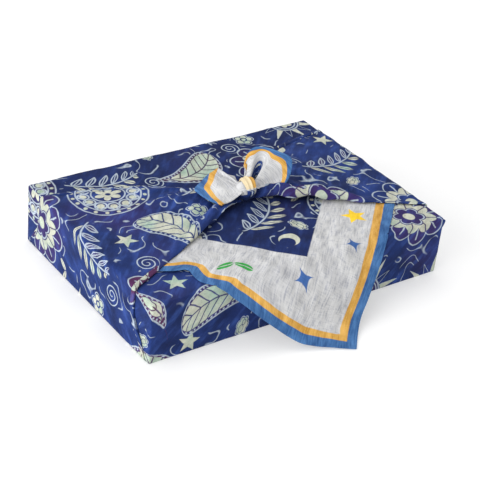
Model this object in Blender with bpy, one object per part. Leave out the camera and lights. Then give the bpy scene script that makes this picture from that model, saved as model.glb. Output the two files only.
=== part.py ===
"""A furoshiki: one square cloth folded round a flat box and tied on top. Metres, +Z up.

The origin is the centre of the bottom face, with the hanging corner towards -Y.
Places are given from the front left bottom corner of the wrap: x to the right,
y to the back and z up. The box inside is not built, so the wrap is hollow.
"""

import math

import bmesh
import bpy
from mathutils import Vector

# Driving sizes
LENGTH = 0.320
DEPTH = 0.220
CLOTH = 0.0012
LAYER_GAP = 0.0004
STEP = CLOTH + LAYER_GAP

# Levels of the layers on top, from the front flap up
FRONT_FLAP_TOP = 0.0584
BACK_FLAP_TOP = FRONT_FLAP_TOP + STEP
STRIP_TOP = BACK_FLAP_TOP + STEP

# Bends over the edges of the wrap
INNER_BEND = 0.0024
OUTER_BEND = INNER_BEND + STEP
BEND_STEPS = 4

# The front flap ends under the back flap, which crosses a slot in the shell
SLOT_FRONT = 0.112
SLOT_BACK = 0.122
SLOT_SIDE_MARGIN = 0.006
EMBED = 0.0002
RAMP_BACK = SLOT_BACK + 0.004
RAMP_FRONT = SLOT_FRONT + 0.004

# The corner that hangs over the front edge
HANG_LENGTH = 0.090
HANG_BEND = math.radians(42)
HANG_STEPS = 15
TIP_X = 0.171
TIP_HALF_WIDTH = 0.0015
TABLE_CLEARANCE = 0.0003
BACK_FLAP_COLUMNS = 18

# The raised wave along the left border of the back flap
BORDER_WAVE_HEIGHT = 0.005
BORDER_WAVE_LENGTH = 0.014
BORDER_WAVE_WIDTH = 0.011
BORDER_WAVE_Y = 0.024
BORDER_WAVE_INSET = 0.005

# Shallow waves of the hanging corner's left border
CORNER_WAVE_HEIGHT = 0.0025
CORNER_WAVES = 1.5

# Slope of the hanging corner in degrees, by length of cloth from the front edge
HANG_ROWS = [
    dict(run=0.000, slope=42),
    dict(run=0.020, slope=47),
    dict(run=0.035, slope=58),
    dict(run=0.055, slope=58),
    dict(run=0.068, slope=32),
    dict(run=0.080, slope=12),
    dict(run=0.090, slope=0),
]

# The knot
KNOT_CENTRE = (0.1665, 0.1095, 0.0722)
KNOT_RADII = (0.0165, 0.0125, 0.0105)
KNOT_SEGMENTS = 14
KNOT_RINGS = 9
TWO_LOBES = 0.10
TWO_LOBES_TURN = 0.6
THREE_LOBES = 0.07
BAND_WIDTH = 0.013
BAND_THICKNESS = 0.0035
BAND_CLEARANCE = 0.0012
BAND_CROWN = 0.0012
BAND_OFFSET = 0.0015
BAND_SLANT = 0.18
BAND_LOWEST = -0.0095
BAND_START = math.radians(-25)
BAND_END = math.radians(205)
BAND_STEPS = 10
BAND_COLUMNS = 4

# How the side strips rise to the knot, as shares of the whole rise
KNOT_RISE = 0.011
RISE_START = 0.020
EDGE_RISE = 0.25
TENT_RISE = 0.75
TENT_ROUNDNESS = 0.8
TENT_LOSS_AT_ROLL = 0.35

# Left and right borders of the back flap on the top, by distance from the front edge
BACK_FLAP_ROWS = [
    dict(y=0.126, left=0.006, right=0.314),
    dict(y=0.122, left=0.004, right=0.316),
    dict(y=0.116, left=0.004, right=0.316),
    dict(y=0.095, left=0.004, right=0.316),
    dict(y=0.075, left=0.004, right=0.316),
    dict(y=0.064, left=0.004, right=0.316),
    dict(y=0.052, left=0.006, right=0.303),
    dict(y=0.046, left=0.020, right=0.297),
    dict(y=0.040, left=0.038, right=0.291),
    dict(y=0.036, left=0.055, right=0.287),
    dict(y=0.030, left=0.062, right=0.281),
    dict(y=0.020, left=0.066, right=0.271),
    dict(y=0.010, left=0.067, right=0.260),
]
EDGE_LEFT = 0.069
EDGE_RIGHT = 0.250

# Where a side strip starts in the bottom, from its side face
STRIP_ROOTS = (0.010, 0.006)

# Fold lines of the side strips on the side faces
SIDE_ROWS = [
    dict(z=0.014, front=0.012, back=0.2075),
    dict(z=0.030, front=0.026, back=0.1955),
    dict(z=0.044, front=0.026, back=0.1945),
]
SIDE_BOTTOM = dict(front=0.005, back=0.215)
SIDE_TOP = dict(front=0.026, back=0.1935)

# The side strips on the top, by distance in from their own side face
LEFT_ROWS = [
    dict(reach=0.014, front=0.033, back=0.1930, roll=0.0),
    dict(reach=0.032, front=0.042, back=0.1895, roll=0.0),
    dict(reach=0.052, front=0.052, back=0.1845, roll=0.0),
    dict(reach=0.072, front=0.062, back=0.1780, roll=0.05),
    dict(reach=0.092, front=0.072, back=0.1695, roll=0.15),
    dict(reach=0.110, front=0.081, back=0.1590, roll=0.25),
    dict(reach=0.125, front=0.089, back=0.1470, roll=0.35),
    dict(reach=0.138, front=0.096, back=0.1340, roll=0.40),
    dict(reach=0.150, front=0.101, back=0.1220, roll=0.40),
    dict(reach=0.160, front=0.104, back=0.1150, roll=0.20),
]
RIGHT_ROWS = [
    dict(reach=0.014, front=0.034, back=0.1930, roll=0.0),
    dict(reach=0.032, front=0.044, back=0.1895, roll=0.0),
    dict(reach=0.050, front=0.054, back=0.1850, roll=0.10),
    dict(reach=0.066, front=0.063, back=0.1800, roll=0.30),
    dict(reach=0.082, front=0.072, back=0.1730, roll=0.60),
    dict(reach=0.097, front=0.081, back=0.1640, roll=0.85),
    dict(reach=0.111, front=0.089, back=0.1530, roll=1.0),
    dict(reach=0.124, front=0.096, back=0.1400, roll=1.0),
    dict(reach=0.136, front=0.101, back=0.1270, roll=0.85),
    dict(reach=0.147, front=0.105, back=0.1170, roll=0.45),
]

# Section of the gathered roll along a strip's front fold, in shares of its size
ROLL_SIZE = 0.012
ROLL_SECTION = [
    dict(inwards=0.15, up=0.14),
    dict(inwards=-0.06, up=0.45),
    dict(inwards=0.06, up=0.80),
    dict(inwards=0.36, up=1.00),
    dict(inwards=0.76, up=0.92),
    dict(inwards=1.12, up=0.70),
]
ROLL_SHARE = 0.55
FLAT_COLUMN = 0.0035
FLAT_SHARE = 0.07
TENT_COLUMNS = 9
PLEATS = 2.5
PLEAT_DEPTH = 0.0016

# Outlines of the two tails, from one side round the tip to the other
LEFT_TAIL = [
    dict(x=0.127, y=0.096, z=0.0695),
    dict(x=0.124, y=0.112, z=0.0690),
    dict(x=0.125, y=0.129, z=0.0690),
    dict(x=0.144, y=0.141, z=0.0705),
    dict(x=0.163, y=0.151, z=0.0710),
    dict(x=0.168, y=0.136, z=0.0720),
]
LEFT_TAIL_ROOT = [dict(x=0.158, y=0.103, z=0.0755), dict(x=0.166, y=0.118, z=0.0760)]
RIGHT_TAIL = [
    dict(x=0.177, y=0.124, z=0.0810),
    dict(x=0.186, y=0.134, z=0.0930),
    dict(x=0.196, y=0.134, z=0.0970),
    dict(x=0.208, y=0.123, z=0.0950),
    dict(x=0.218, y=0.111, z=0.0910),
    dict(x=0.211, y=0.102, z=0.0810),
    dict(x=0.202, y=0.095, z=0.0730),
]
RIGHT_TAIL_ROOT = [dict(x=0.170, y=0.116, z=0.0745), dict(x=0.176, y=0.105, z=0.0720)]
TAIL_CROWN = 0.0025
TAIL_STEPS = 5

# The small pinched fold at the front right corner, by height
EAR_ROWS = [
    dict(z=0.0560, out=0.0010),
    dict(z=0.0515, out=0.0075),
    dict(z=0.0460, out=0.0055),
    dict(z=0.0400, out=0.0010),
]
EAR_Y = 0.0052
EAR_THICKNESS = 0.0026

NAVY = (0.018, 0.030, 0.165, 1.0)


def place(x, y, z):
    """A point given from the front left bottom corner."""
    return Vector((x - LENGTH / 2, y - DEPTH / 2, z))


def mix(low, high, share):
    return low + (high - low) * share


def smooth(share):
    share = min(max(share, 0.0), 1.0)
    return share * share * (3 - 2 * share)


def box(name, low, high, bevel=0.0):
    """A box between two corners, with rounded edges where a bevel is given."""
    mesh = bpy.data.meshes.new(name)
    shape = bmesh.new()
    bmesh.ops.create_cube(shape, size=1.0)
    for vertex in shape.verts:
        for axis in range(3):
            vertex.co[axis] = mix(low[axis], high[axis], vertex.co[axis] + 0.5)
    shape.to_mesh(mesh)
    shape.free()
    item = bpy.data.objects.new(name, mesh)
    bpy.context.scene.collection.objects.link(item)
    if bevel:
        rounding = item.modifiers.new("rounded_edges", "BEVEL")
        rounding.width = bevel
        rounding.segments = 3
        rounding.limit_method = "NONE"
    return item


def sheet(name, rows, thickness=CLOTH):
    """A sheet from rows of points on its outer side, thickened inwards."""
    mesh = bpy.data.meshes.new(name)
    shape = bmesh.new()
    grid = [[shape.verts.new(point) for point in row] for row in rows]
    for lower, upper in zip(grid, grid[1:]):
        for a, b, c, d in zip(lower, lower[1:], upper[1:], upper):
            shape.faces.new((a, b, c, d))
    shape.to_mesh(mesh)
    shape.free()
    item = bpy.data.objects.new(name, mesh)
    bpy.context.scene.collection.objects.link(item)
    wall = item.modifiers.new("cloth_thickness", "SOLIDIFY")
    wall.thickness = thickness
    wall.offset = -1.0
    wall.use_even_offset = False
    return item


def join(target, tool, operation="UNION"):
    """Adds a helper to the target, or cuts it away, and hides the helper."""
    change = target.modifiers.new(tool.name, "BOOLEAN")
    change.operation = operation
    change.object = tool
    change.solver = "EXACT"
    tool.hide_render = True
    tool.display_type = "WIRE"


def shell():
    """Bottom, walls and front flap: the layer of cloth that lies on the box."""
    low = place(STEP, 0.0, 0.0)
    high = place(LENGTH - STEP, DEPTH, FRONT_FLAP_TOP)
    wall = Vector((CLOTH, CLOTH, CLOTH))
    cloth = box("furoshiki_cloth", low, high, INNER_BEND)
    join(cloth, box("hollow", low + wall, high - wall, INNER_BEND - CLOTH), "DIFFERENCE")
    slot_low = place(SLOT_SIDE_MARGIN, SLOT_FRONT, FRONT_FLAP_TOP - 4 * CLOTH)
    slot_high = place(LENGTH - SLOT_SIDE_MARGIN, SLOT_BACK, FRONT_FLAP_TOP + 4 * CLOTH)
    join(cloth, box("slot", slot_low, slot_high), "DIFFERENCE")
    return cloth


def border_wave(x, y, left):
    """Height of the raised wave along the left border of the back flap."""
    inwards = (x - left - BORDER_WAVE_INSET) / BORDER_WAVE_WIDTH
    along = (y - BORDER_WAVE_Y) / BORDER_WAVE_LENGTH
    return BORDER_WAVE_HEIGHT * math.exp(-inwards * inwards - along * along)


def back_flap():
    """The flap from the back, over the top and down as the hanging corner."""
    rows = []
    for line in BACK_FLAP_ROWS:
        y, left, right = line["y"], line["left"], line["right"]
        climb = smooth((RAMP_BACK - y) / (RAMP_BACK - RAMP_FRONT))
        level = mix(FRONT_FLAP_TOP - EMBED, BACK_FLAP_TOP, climb)
        row = []
        for column in range(BACK_FLAP_COLUMNS + 1):
            x = mix(right, left, column / BACK_FLAP_COLUMNS)
            row.append(place(x, y, level + border_wave(x, y, left)))
        rows.append(row)
    centre_z = BACK_FLAP_TOP - OUTER_BEND
    for step in range(1, BEND_STEPS + 1):
        turn = HANG_BEND * step / BEND_STEPS
        y = INNER_BEND - OUTER_BEND * math.sin(turn)
        z = centre_z + OUTER_BEND * math.cos(turn)
        rows.append(hanging_row(0.0, y, z))
    part_run = HANG_LENGTH / HANG_STEPS
    for step in range(1, HANG_STEPS + 1):
        slope = slope_at(part_run * (step - 0.5))
        y -= part_run * math.cos(slope)
        z = max(z - part_run * math.sin(slope), CLOTH + TABLE_CLEARANCE)
        rows.append(hanging_row(step / HANG_STEPS, y, z))
    return sheet("back_flap", rows)


def slope_at(run):
    """Slope of the hanging corner at a length of cloth from the front edge."""
    for start, end in zip(HANG_ROWS, HANG_ROWS[1:]):
        if run <= end["run"]:
            share = (run - start["run"]) / (end["run"] - start["run"])
            return math.radians(mix(start["slope"], end["slope"], share))
    return math.radians(HANG_ROWS[-1]["slope"])


def hanging_row(share, y, z):
    """One row across the hanging corner, which narrows to its tip."""
    left = mix(EDGE_LEFT, TIP_X - TIP_HALF_WIDTH, share)
    right = mix(EDGE_RIGHT, TIP_X + TIP_HALF_WIDTH, share)
    swing = CORNER_WAVE_HEIGHT * math.sin(2 * math.pi * CORNER_WAVES * share)
    swing *= math.sin(math.pi * share)
    row = []
    for column in range(BACK_FLAP_COLUMNS + 1):
        across = column / BACK_FLAP_COLUMNS
        row.append(place(mix(right, left, across), y - swing * across ** 3, z))
    return row


def strip_section(front, back, level, roll, lift, pleat):
    """(y, z) of one section across a side strip, from its front fold to its back edge."""
    points = []
    size = min(ROLL_SIZE, ROLL_SHARE * (back - front))
    pitch = min(FLAT_COLUMN, FLAT_SHARE * (back - front))
    for index, part in enumerate(ROLL_SECTION):
        inwards = mix(pitch * index, size * part["inwards"], roll)
        up = mix(0.0, size * part["up"], roll)
        points.append((front + inwards, level + up))
    start, roll_end = points[-1]
    for column in range(1, TENT_COLUMNS + 1):
        share = column / TENT_COLUMNS
        height = mix(roll_end, level, smooth(share))
        tent = lift * math.sin(math.pi * share) ** TENT_ROUNDNESS
        tent *= 1 - TENT_LOSS_AT_ROLL * roll
        fold = pleat * math.sin(2 * math.pi * PLEATS * share) * math.sin(math.pi * share)
        points.append((mix(start, back, share), max(height + tent + fold, level)))
    return points


def flat_section(front, back):
    """Columns across a side strip where it lies against a face, spaced as on the top."""
    columns = strip_section(front, back, 0.0, 0.0, 0.0, 0.0)
    return [y for y, _ in columns]


def side_strip(name, table, mirrored):
    """A strip from under the wrap, up its side face and over the top to the knot."""

    def point(reach, y, z):
        return place(LENGTH - reach if mirrored else reach, y, z)

    bottom, top = SIDE_BOTTOM, SIDE_TOP
    rows = []
    low_bend = OUTER_BEND - EMBED
    for reach in STRIP_ROOTS:
        rows.append([point(reach, y, EMBED) for y in flat_section(**bottom)])
    for step in range(1, BEND_STEPS + 1):
        turn = math.pi / 2 * step / BEND_STEPS
        reach = low_bend * (1 - math.sin(turn))
        z = EMBED + low_bend * (1 - math.cos(turn))
        rows.append([point(reach, y, z) for y in flat_section(**bottom)])
    for line in SIDE_ROWS:
        columns = flat_section(line["front"], line["back"])
        rows.append([point(0.0, y, line["z"]) for y in columns])
    for step in range(BEND_STEPS + 1):
        turn = math.pi / 2 * step / BEND_STEPS
        reach = OUTER_BEND * (1 - math.cos(turn))
        z = STRIP_TOP - OUTER_BEND * (1 - math.sin(turn))
        rows.append([point(reach, y, z) for y in flat_section(**top)])
    last = table[-1]["reach"]
    for line in table:
        near = smooth((line["reach"] - RISE_START) / (last - RISE_START))
        level = STRIP_TOP + EDGE_RISE * KNOT_RISE * near ** 2
        lift = TENT_RISE * KNOT_RISE * near
        section = strip_section(
            line["front"], line["back"], level, line["roll"], lift, PLEAT_DEPTH * near
        )
        rows.append([point(line["reach"], y, z) for y, z in section])
    if not mirrored:
        rows = [row[::-1] for row in rows]
    return sheet(name, rows)


def knot_core():
    """The lump of the knot."""
    mesh = bpy.data.meshes.new("knot_core")
    shape = bmesh.new()
    bmesh.ops.create_uvsphere(
        shape, u_segments=KNOT_SEGMENTS, v_segments=KNOT_RINGS, radius=1.0
    )
    centre = place(*KNOT_CENTRE)
    for vertex in shape.verts:
        direction = vertex.co.normalized()
        around = math.atan2(direction.y, direction.x)
        lump = 1.0 + TWO_LOBES * math.cos(2 * around + TWO_LOBES_TURN)
        lump += THREE_LOBES * math.sin(3 * around)
        for axis in range(3):
            scale = KNOT_RADII[axis] * (lump if axis < 2 else 1.0)
            vertex.co[axis] = centre[axis] + direction[axis] * scale
    shape.to_mesh(mesh)
    shape.free()
    item = bpy.data.objects.new("knot_core", mesh)
    bpy.context.scene.collection.objects.link(item)
    return item


def knot_band():
    """The loop of cloth that passes over the knot from front to back."""
    centre = place(*KNOT_CENTRE)
    rows = []
    for step in range(BAND_STEPS + 1):
        turn = mix(BAND_START, BAND_END, step / BAND_STEPS)
        row = []
        for column in range(BAND_COLUMNS + 1):
            share = column / BAND_COLUMNS - 0.5
            out = BAND_CLEARANCE + BAND_CROWN * math.cos(math.pi * share)
            y = -(KNOT_RADII[1] + out) * math.cos(turn)
            z = (KNOT_RADII[2] + out) * math.sin(turn)
            x = BAND_OFFSET + share * BAND_WIDTH + BAND_SLANT * y
            row.append(centre + Vector((x, y, max(z, BAND_LOWEST))))
        rows.append(row)
    return sheet("knot_band", rows, BAND_THICKNESS)


def tail(name, outline, root):
    """A free corner of the cloth, fanned out from its root in the knot."""
    rows = []
    last = len(outline) - 1
    for step in range(TAIL_STEPS + 1):
        out = step / TAIL_STEPS
        row = []
        for index, end in enumerate(outline):
            along = index / last
            start = [mix(root[0][key], root[1][key], along) for key in "xyz"]
            x, y, z = (mix(start[axis], end[key], out) for axis, key in enumerate("xyz"))
            crown = TAIL_CROWN * math.sin(math.pi * out) * math.cos(2 * math.pi * along)
            row.append(place(x, y, z - crown))
        rows.append(row)
    return sheet(name, rows)


def ear():
    """The small fold pinched out at the front right corner."""
    rows = []
    for line in EAR_ROWS:
        inner = LENGTH - STEP - 2 * CLOTH
        outer = LENGTH - STEP + line["out"]
        rows.append([place(mix(inner, outer, share), EAR_Y, line["z"]) for share in (0.0, 0.5, 1.0)])
    return sheet("ear", rows[::-1], EAR_THICKNESS)


def printed_cloth():
    material = bpy.data.materials.new("printed_cloth")
    material.use_nodes = True
    shader = material.node_tree.nodes["Principled BSDF"]
    shader.inputs["Base Color"].default_value = NAVY
    shader.inputs["Roughness"].default_value = 0.82
    shader.inputs["Metallic"].default_value = 0.0
    return material


def main():
    for item in list(bpy.data.objects):
        bpy.data.objects.remove(item)
    cloth = shell()
    cloth.data.materials.append(printed_cloth())
    join(cloth, back_flap())
    join(cloth, side_strip("left_strip", LEFT_ROWS, mirrored=False))
    join(cloth, side_strip("right_strip", RIGHT_ROWS, mirrored=True))
    join(cloth, knot_core())
    join(cloth, knot_band())
    join(cloth, tail("left_tail", LEFT_TAIL, LEFT_TAIL_ROOT))
    join(cloth, tail("right_tail", RIGHT_TAIL, RIGHT_TAIL_ROOT))
    join(cloth, ear())


main()
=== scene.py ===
import math

import bmesh
import bpy
import numpy as np
from mathutils import Matrix, Vector


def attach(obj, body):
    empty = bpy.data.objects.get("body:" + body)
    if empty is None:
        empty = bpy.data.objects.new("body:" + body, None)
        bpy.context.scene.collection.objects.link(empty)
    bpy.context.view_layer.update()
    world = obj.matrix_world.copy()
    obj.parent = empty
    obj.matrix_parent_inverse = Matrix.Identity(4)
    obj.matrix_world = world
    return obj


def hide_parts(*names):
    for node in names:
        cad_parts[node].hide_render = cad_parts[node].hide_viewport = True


# The looks of a furoshiki: one printed square cloth folded round a flat box and tied on top.
# Metres, +Z up. Places on the wrap are given from its front left bottom corner.
# Places on the flat cloth are (across, along) from its middle: across runs from the left
# corner to the right one, along from the front corner to the back one that hangs over.

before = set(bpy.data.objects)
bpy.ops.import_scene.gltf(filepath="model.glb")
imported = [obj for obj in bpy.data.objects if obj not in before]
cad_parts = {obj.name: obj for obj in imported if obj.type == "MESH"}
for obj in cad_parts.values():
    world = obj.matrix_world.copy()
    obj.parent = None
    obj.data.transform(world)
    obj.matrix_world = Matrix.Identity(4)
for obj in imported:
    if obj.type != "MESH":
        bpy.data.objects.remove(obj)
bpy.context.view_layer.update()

# Sizes of the wrap and the cloth
LENGTH = 0.320
DEPTH = 0.220
HEIGHT = 0.060
CLOTH_SIDE = 0.680
HALF_DIAGONAL = CLOTH_SIDE / math.sqrt(2)
THICKNESS = 0.0006

# The inner layer (bottom, front face and front flap), the back layer and the side strips
FRONT_TOP = 0.0588
BACK_TOP = 0.0598
STRIP_TOP = 0.0608
FRONT_HALF = np.array([0.1590, 0.1100, FRONT_TOP / 2])
BACK_HALF = np.array([0.1594, 0.1103, BACK_TOP / 2])
FRONT_BEND = 0.0018
BACK_BEND = 0.0022
STRIP_BEND = 0.0028
HANG_ARC = 0.0040
HANG_ARC_Y = 0.0024

# Pitches of the mesh, the rows in a bend by shares of its radius, and the least lengths
FINE = 0.0030
COARSE = 0.0100
BEND_ROWS = np.tan(np.radians([45.0, 30.0, 15.0]))
WELD = 0.00002
NO_BEND = 1e-7
TINY = 1e-9

# How far the layers reach under each other, along y from the wrap's middle
FRONT_FLAP_FINE = -0.035
FRONT_FLAP_END = 0.095
FRONT_TURN_END = -0.060
BACK_TURN_START = 0.055

# How freely the cloth may pucker, as a share
FACE_SLACK = 0.7
TURN_SLACK = 0.6
CORE_SLACK = 0.3
BAND_SLACK = 0.2
TAIL_SLACK = 0.4

# Height up to which the cloth lies tight on the table, and over which it comes free
TABLE_HOLD = 0.0030
TABLE_FADE = 0.0200

# Left and right borders of the back flap on the top, by distance from the front edge
BACK_BORDERS = [
    dict(y=0.2203, left=0.0006, right=0.3194),
    dict(y=0.075, left=0.0006, right=0.3194),
    dict(y=0.064, left=0.002, right=0.318),
    dict(y=0.052, left=0.008, right=0.303),
    dict(y=0.046, left=0.024, right=0.297),
    dict(y=0.0385, left=0.0368, right=0.290),
    dict(y=0.0350, left=0.0425, right=0.286),
    dict(y=0.0322, left=0.0530, right=0.283),
    dict(y=0.0280, left=0.0552, right=0.279),
    dict(y=0.0200, left=0.0545, right=0.271),
    dict(y=0.0100, left=0.0560, right=0.260),
    dict(y=0.0050, left=0.0600, right=0.255),
    dict(y=0.0000, left=0.0640, right=0.250),
]
BORDER_WAVE = dict(height=0.0016, width=0.012, length=0.007, y=0.034, inset=0.004)

# How far in from the left border the print follows it, and where on the top that starts
BORDER_HOLD = 0.022
BORDER_SQUEEZE = 0.070
NARROW_HOLD = 0.3
BORDER_START = 0.0750
BORDER_PITCH = 0.0005
SQUEEZE_START = 0.052
SQUEEZE_FADE = 0.008

# The corner that hangs over the front edge: slope in degrees by length of cloth
HANG_LENGTH = 0.0905
HANG_BEND = math.radians(42)
HANG_BEND_ROWS = 5
HANG_STEPS = 36
HANG_ROWS = [
    dict(run=0.000, slope=42),
    dict(run=0.020, slope=47),
    dict(run=0.035, slope=58),
    dict(run=0.055, slope=58),
    dict(run=0.068, slope=32),
    dict(run=0.080, slope=12),
    dict(run=0.0905, slope=0),
]
# Its left border by length of cloth; the right one is straight
HANG_BORDERS = [
    dict(run=0.000, left=0.0640),
    dict(run=0.006, left=0.0705),
    dict(run=0.012, left=0.0748),
    dict(run=0.020, left=0.0823),
    dict(run=0.030, left=0.0902),
    dict(run=0.040, left=0.0992),
    dict(run=0.050, left=0.1092),
    dict(run=0.060, left=0.1200),
    dict(run=0.067, left=0.1285),
    dict(run=0.073, left=0.1395),
    dict(run=0.080, left=0.1530),
    dict(run=0.0905, left=0.1704),
]
EDGE_RIGHT = 0.250
TIP_X = 0.171
TIP_WIDTH = 0.0006
TIP_BLEND = 0.5
CORNER_WAVE_HEIGHT = 0.0012
CORNER_WAVES = 1.5
TABLE_CLEARANCE = 0.0009

# Fold lines of the side strips on the side faces, by height
SIDE_ROWS = [
    dict(z=0.000, front=0.005, back=0.2150),
    dict(z=0.014, front=0.012, back=0.2075),
    dict(z=0.030, front=0.024, back=0.1965),
    dict(z=0.044, front=0.027, back=0.1945),
    dict(z=0.0608, front=0.026, back=0.1935),
]

# Where a strip starts under the wrap, and its rows in a bend by degrees
UNDER_REACHES = (0.012, 0.008)
UNDER_HEIGHT = 0.0004
STRIP_TURNS = (22.0, 45.0, 67.0)
STRIP_PITCH = 0.00255

# The side strips on the top, by distance in from their own side face
LEFT_ROWS = [
    dict(reach=0.000, front=0.026, back=0.1935, roll=0.0),
    dict(reach=0.014, front=0.033, back=0.1930, roll=0.0),
    dict(reach=0.032, front=0.042, back=0.1895, roll=0.0),
    dict(reach=0.052, front=0.052, back=0.1845, roll=0.08),
    dict(reach=0.072, front=0.062, back=0.1780, roll=0.20),
    dict(reach=0.092, front=0.072, back=0.1695, roll=0.38),
    dict(reach=0.110, front=0.081, back=0.1590, roll=0.50),
    dict(reach=0.125, front=0.089, back=0.1470, roll=0.54),
    dict(reach=0.138, front=0.096, back=0.1340, roll=0.50),
    dict(reach=0.150, front=0.101, back=0.1220, roll=0.40),
    dict(reach=0.160, front=0.104, back=0.1150, roll=0.20),
]
RIGHT_ROWS = [
    dict(reach=0.000, front=0.026, back=0.1935, roll=0.0),
    dict(reach=0.014, front=0.0325, back=0.1930, roll=0.0),
    dict(reach=0.032, front=0.0430, back=0.1895, roll=0.05),
    dict(reach=0.050, front=0.0512, back=0.1850, roll=0.20),
    dict(reach=0.066, front=0.0600, back=0.1800, roll=0.45),
    dict(reach=0.082, front=0.0690, back=0.1730, roll=0.75),
    dict(reach=0.097, front=0.0762, back=0.1640, roll=0.95),
    dict(reach=0.111, front=0.0822, back=0.1530, roll=1.0),
    dict(reach=0.124, front=0.0885, back=0.1400, roll=1.0),
    dict(reach=0.136, front=0.0945, back=0.1270, roll=0.90),
    dict(reach=0.147, front=0.1025, back=0.1170, roll=0.55),
]

# Section of the gathered roll along a strip's front fold, in shares of its size
ROLL_SIZE = 0.0135
ROLL_SECTION = [
    dict(place=0.0, inwards=1.00, up=0.00),
    dict(place=0.13, inwards=0.50, up=0.08),
    dict(place=0.25, inwards=0.00, up=0.25),
    dict(place=0.38, inwards=-0.08, up=0.50),
    dict(place=0.52, inwards=0.06, up=0.80),
    dict(place=0.70, inwards=0.36, up=1.00),
    dict(place=0.86, inwards=0.76, up=0.78),
    dict(place=1.0, inwards=1.06, up=0.26),
]
# Section of a flat folded edge: the cloth turns under by a few millimetres
FLAT_SECTION = [
    dict(place=0.0, inwards=0.0050, up=-0.0007),
    dict(place=0.15, inwards=0.0006, up=-0.0006),
    dict(place=0.35, inwards=0.0, up=-0.0002),
    dict(place=0.52, inwards=0.0008, up=0.0),
    dict(place=1.0, inwards=0.0120, up=0.0),
]
# The folded edge at a strip's back: places back from it and up
BACK_EDGE = [(0.0002, -0.0003), (-0.0006, -0.0006), (-0.0050, -0.0007)]

# The roll: columns, pleats, twist, how soon it is full, and its most in a narrow strip
ROLL_COLUMNS = 28
ROLL_PLEATS = 5.5
ROLL_PLEAT_DEPTH = 0.0010
ROLL_PLEAT_START = 0.2
ROLL_TWIST = dict(depth=0.0020, pitch=0.030, turns=1.5)
ROLL_SOON = 3.0
ROLL_SHARE = 0.55
FLAT_FULL_WIDTH = 0.025

# The cloth behind the roll, which rises to the knot like a tent and has shallow pleats
TENT_COLUMNS = 38
KNOT_RISE = 0.011
RISE_START = 0.020
EDGE_RISE = 0.25
TENT_RISE = 0.75
TENT_ROUNDNESS = 0.8
TENT_LOSS_AT_ROLL = 0.35
PLEATS = 2.5
PLEAT_DEPTH = 0.0016

# Taut folds that run along the strips to the knot: place across, and how near they start
FOLD_GROWTH = 0.3
FOLD_SHARPNESS = 1.3
STRIP_FOLDS = [
    dict(share=0.10, width=0.025, height=0.0017, start=0.10),
    dict(share=0.21, width=0.020, height=0.0012, start=0.35),
    dict(share=0.33, width=0.030, height=0.0020, start=0.02),
    dict(share=0.47, width=0.022, height=0.0014, start=0.25),
    dict(share=0.58, width=0.030, height=0.0022, start=0.05),
    dict(share=0.70, width=0.020, height=0.0013, start=0.40),
    dict(share=0.83, width=0.028, height=0.0019, start=0.15),
]

# Soft ridges and troughs: lines on the flat cloth, from start to end
CREASE_FADE = 0.6
FRONT_CREASES = [
    dict(start=(-0.158, -0.172), end=(-0.105, -0.112), width=0.0045, height=0.0009),
    dict(start=(-0.128, -0.170), end=(-0.030, -0.140), width=0.0060, height=-0.0006),
    dict(start=(0.060, -0.168), end=(0.150, -0.125), width=0.0060, height=0.0009),
    dict(start=(0.158, -0.172), end=(0.120, -0.112), width=0.0050, height=-0.0008),
]
BACK_CREASES = [
    dict(start=(-0.050, 0.345), end=(-0.015, 0.450), width=0.0065, height=0.0013),
    dict(start=(0.012, 0.330), end=(0.008, 0.440), width=0.0040, height=0.0008),
    dict(start=(0.062, 0.345), end=(0.030, 0.425), width=0.0070, height=0.0012),
    dict(start=(-0.085, 0.368), end=(-0.045, 0.415), width=0.0050, height=0.0012),
    dict(start=(0.085, 0.360), end=(0.055, 0.405), width=0.0035, height=0.0008),
    dict(start=(0.020, 0.268), end=(0.140, 0.195), width=0.0060, height=0.0010),
    dict(start=(0.000, 0.262), end=(0.040, 0.180), width=0.0060, height=0.0009),
    dict(start=(-0.015, 0.265), end=(-0.130, 0.190), width=0.0060, height=0.0010),
    dict(start=(-0.120, 0.160), end=(-0.040, 0.130), width=0.0060, height=0.0007),
    dict(start=(0.040, 0.165), end=(0.140, 0.128), width=0.0060, height=0.0008),
]
SIDE_CREASES = [
    dict(start=(0.164, 0.080), end=(0.228, 0.058), width=0.0045, height=0.0011),
    dict(start=(0.168, -0.082), end=(0.222, -0.062), width=0.0045, height=0.0009),
    dict(start=(0.166, -0.040), end=(0.215, -0.030), width=0.0040, height=0.0006),
    dict(start=(0.180, 0.010), end=(0.290, 0.022), width=0.0065, height=0.0010),
    dict(start=(0.205, -0.048), end=(0.300, -0.018), width=0.0060, height=0.0011),
    dict(start=(0.222, 0.062), end=(0.300, 0.040), width=0.0060, height=0.0010),
]

# The knot: a lump with folds that turn round it, pale at its left and top
KNOT_CENTRE = (0.1660, 0.1080, 0.0712)
KNOT_RADII = (0.0110, 0.0100, 0.0088)
CORE_COLUMNS = 56
CORE_ROWS = 32
CORE_FOLDS = [
    dict(height=0.05, count=7, twist=3.0),
    dict(height=0.03, count=12, twist=-5.0),
]
CORE_BULGE = 0.9
CORE_NAVY = dict(start=0.95, gain=1.2, left=0.35, high=0.80)
CORE_ACROSS = -0.435
CORE_NAVY_SHIFT = 0.062
CORE_ALONG = 0.012

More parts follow.
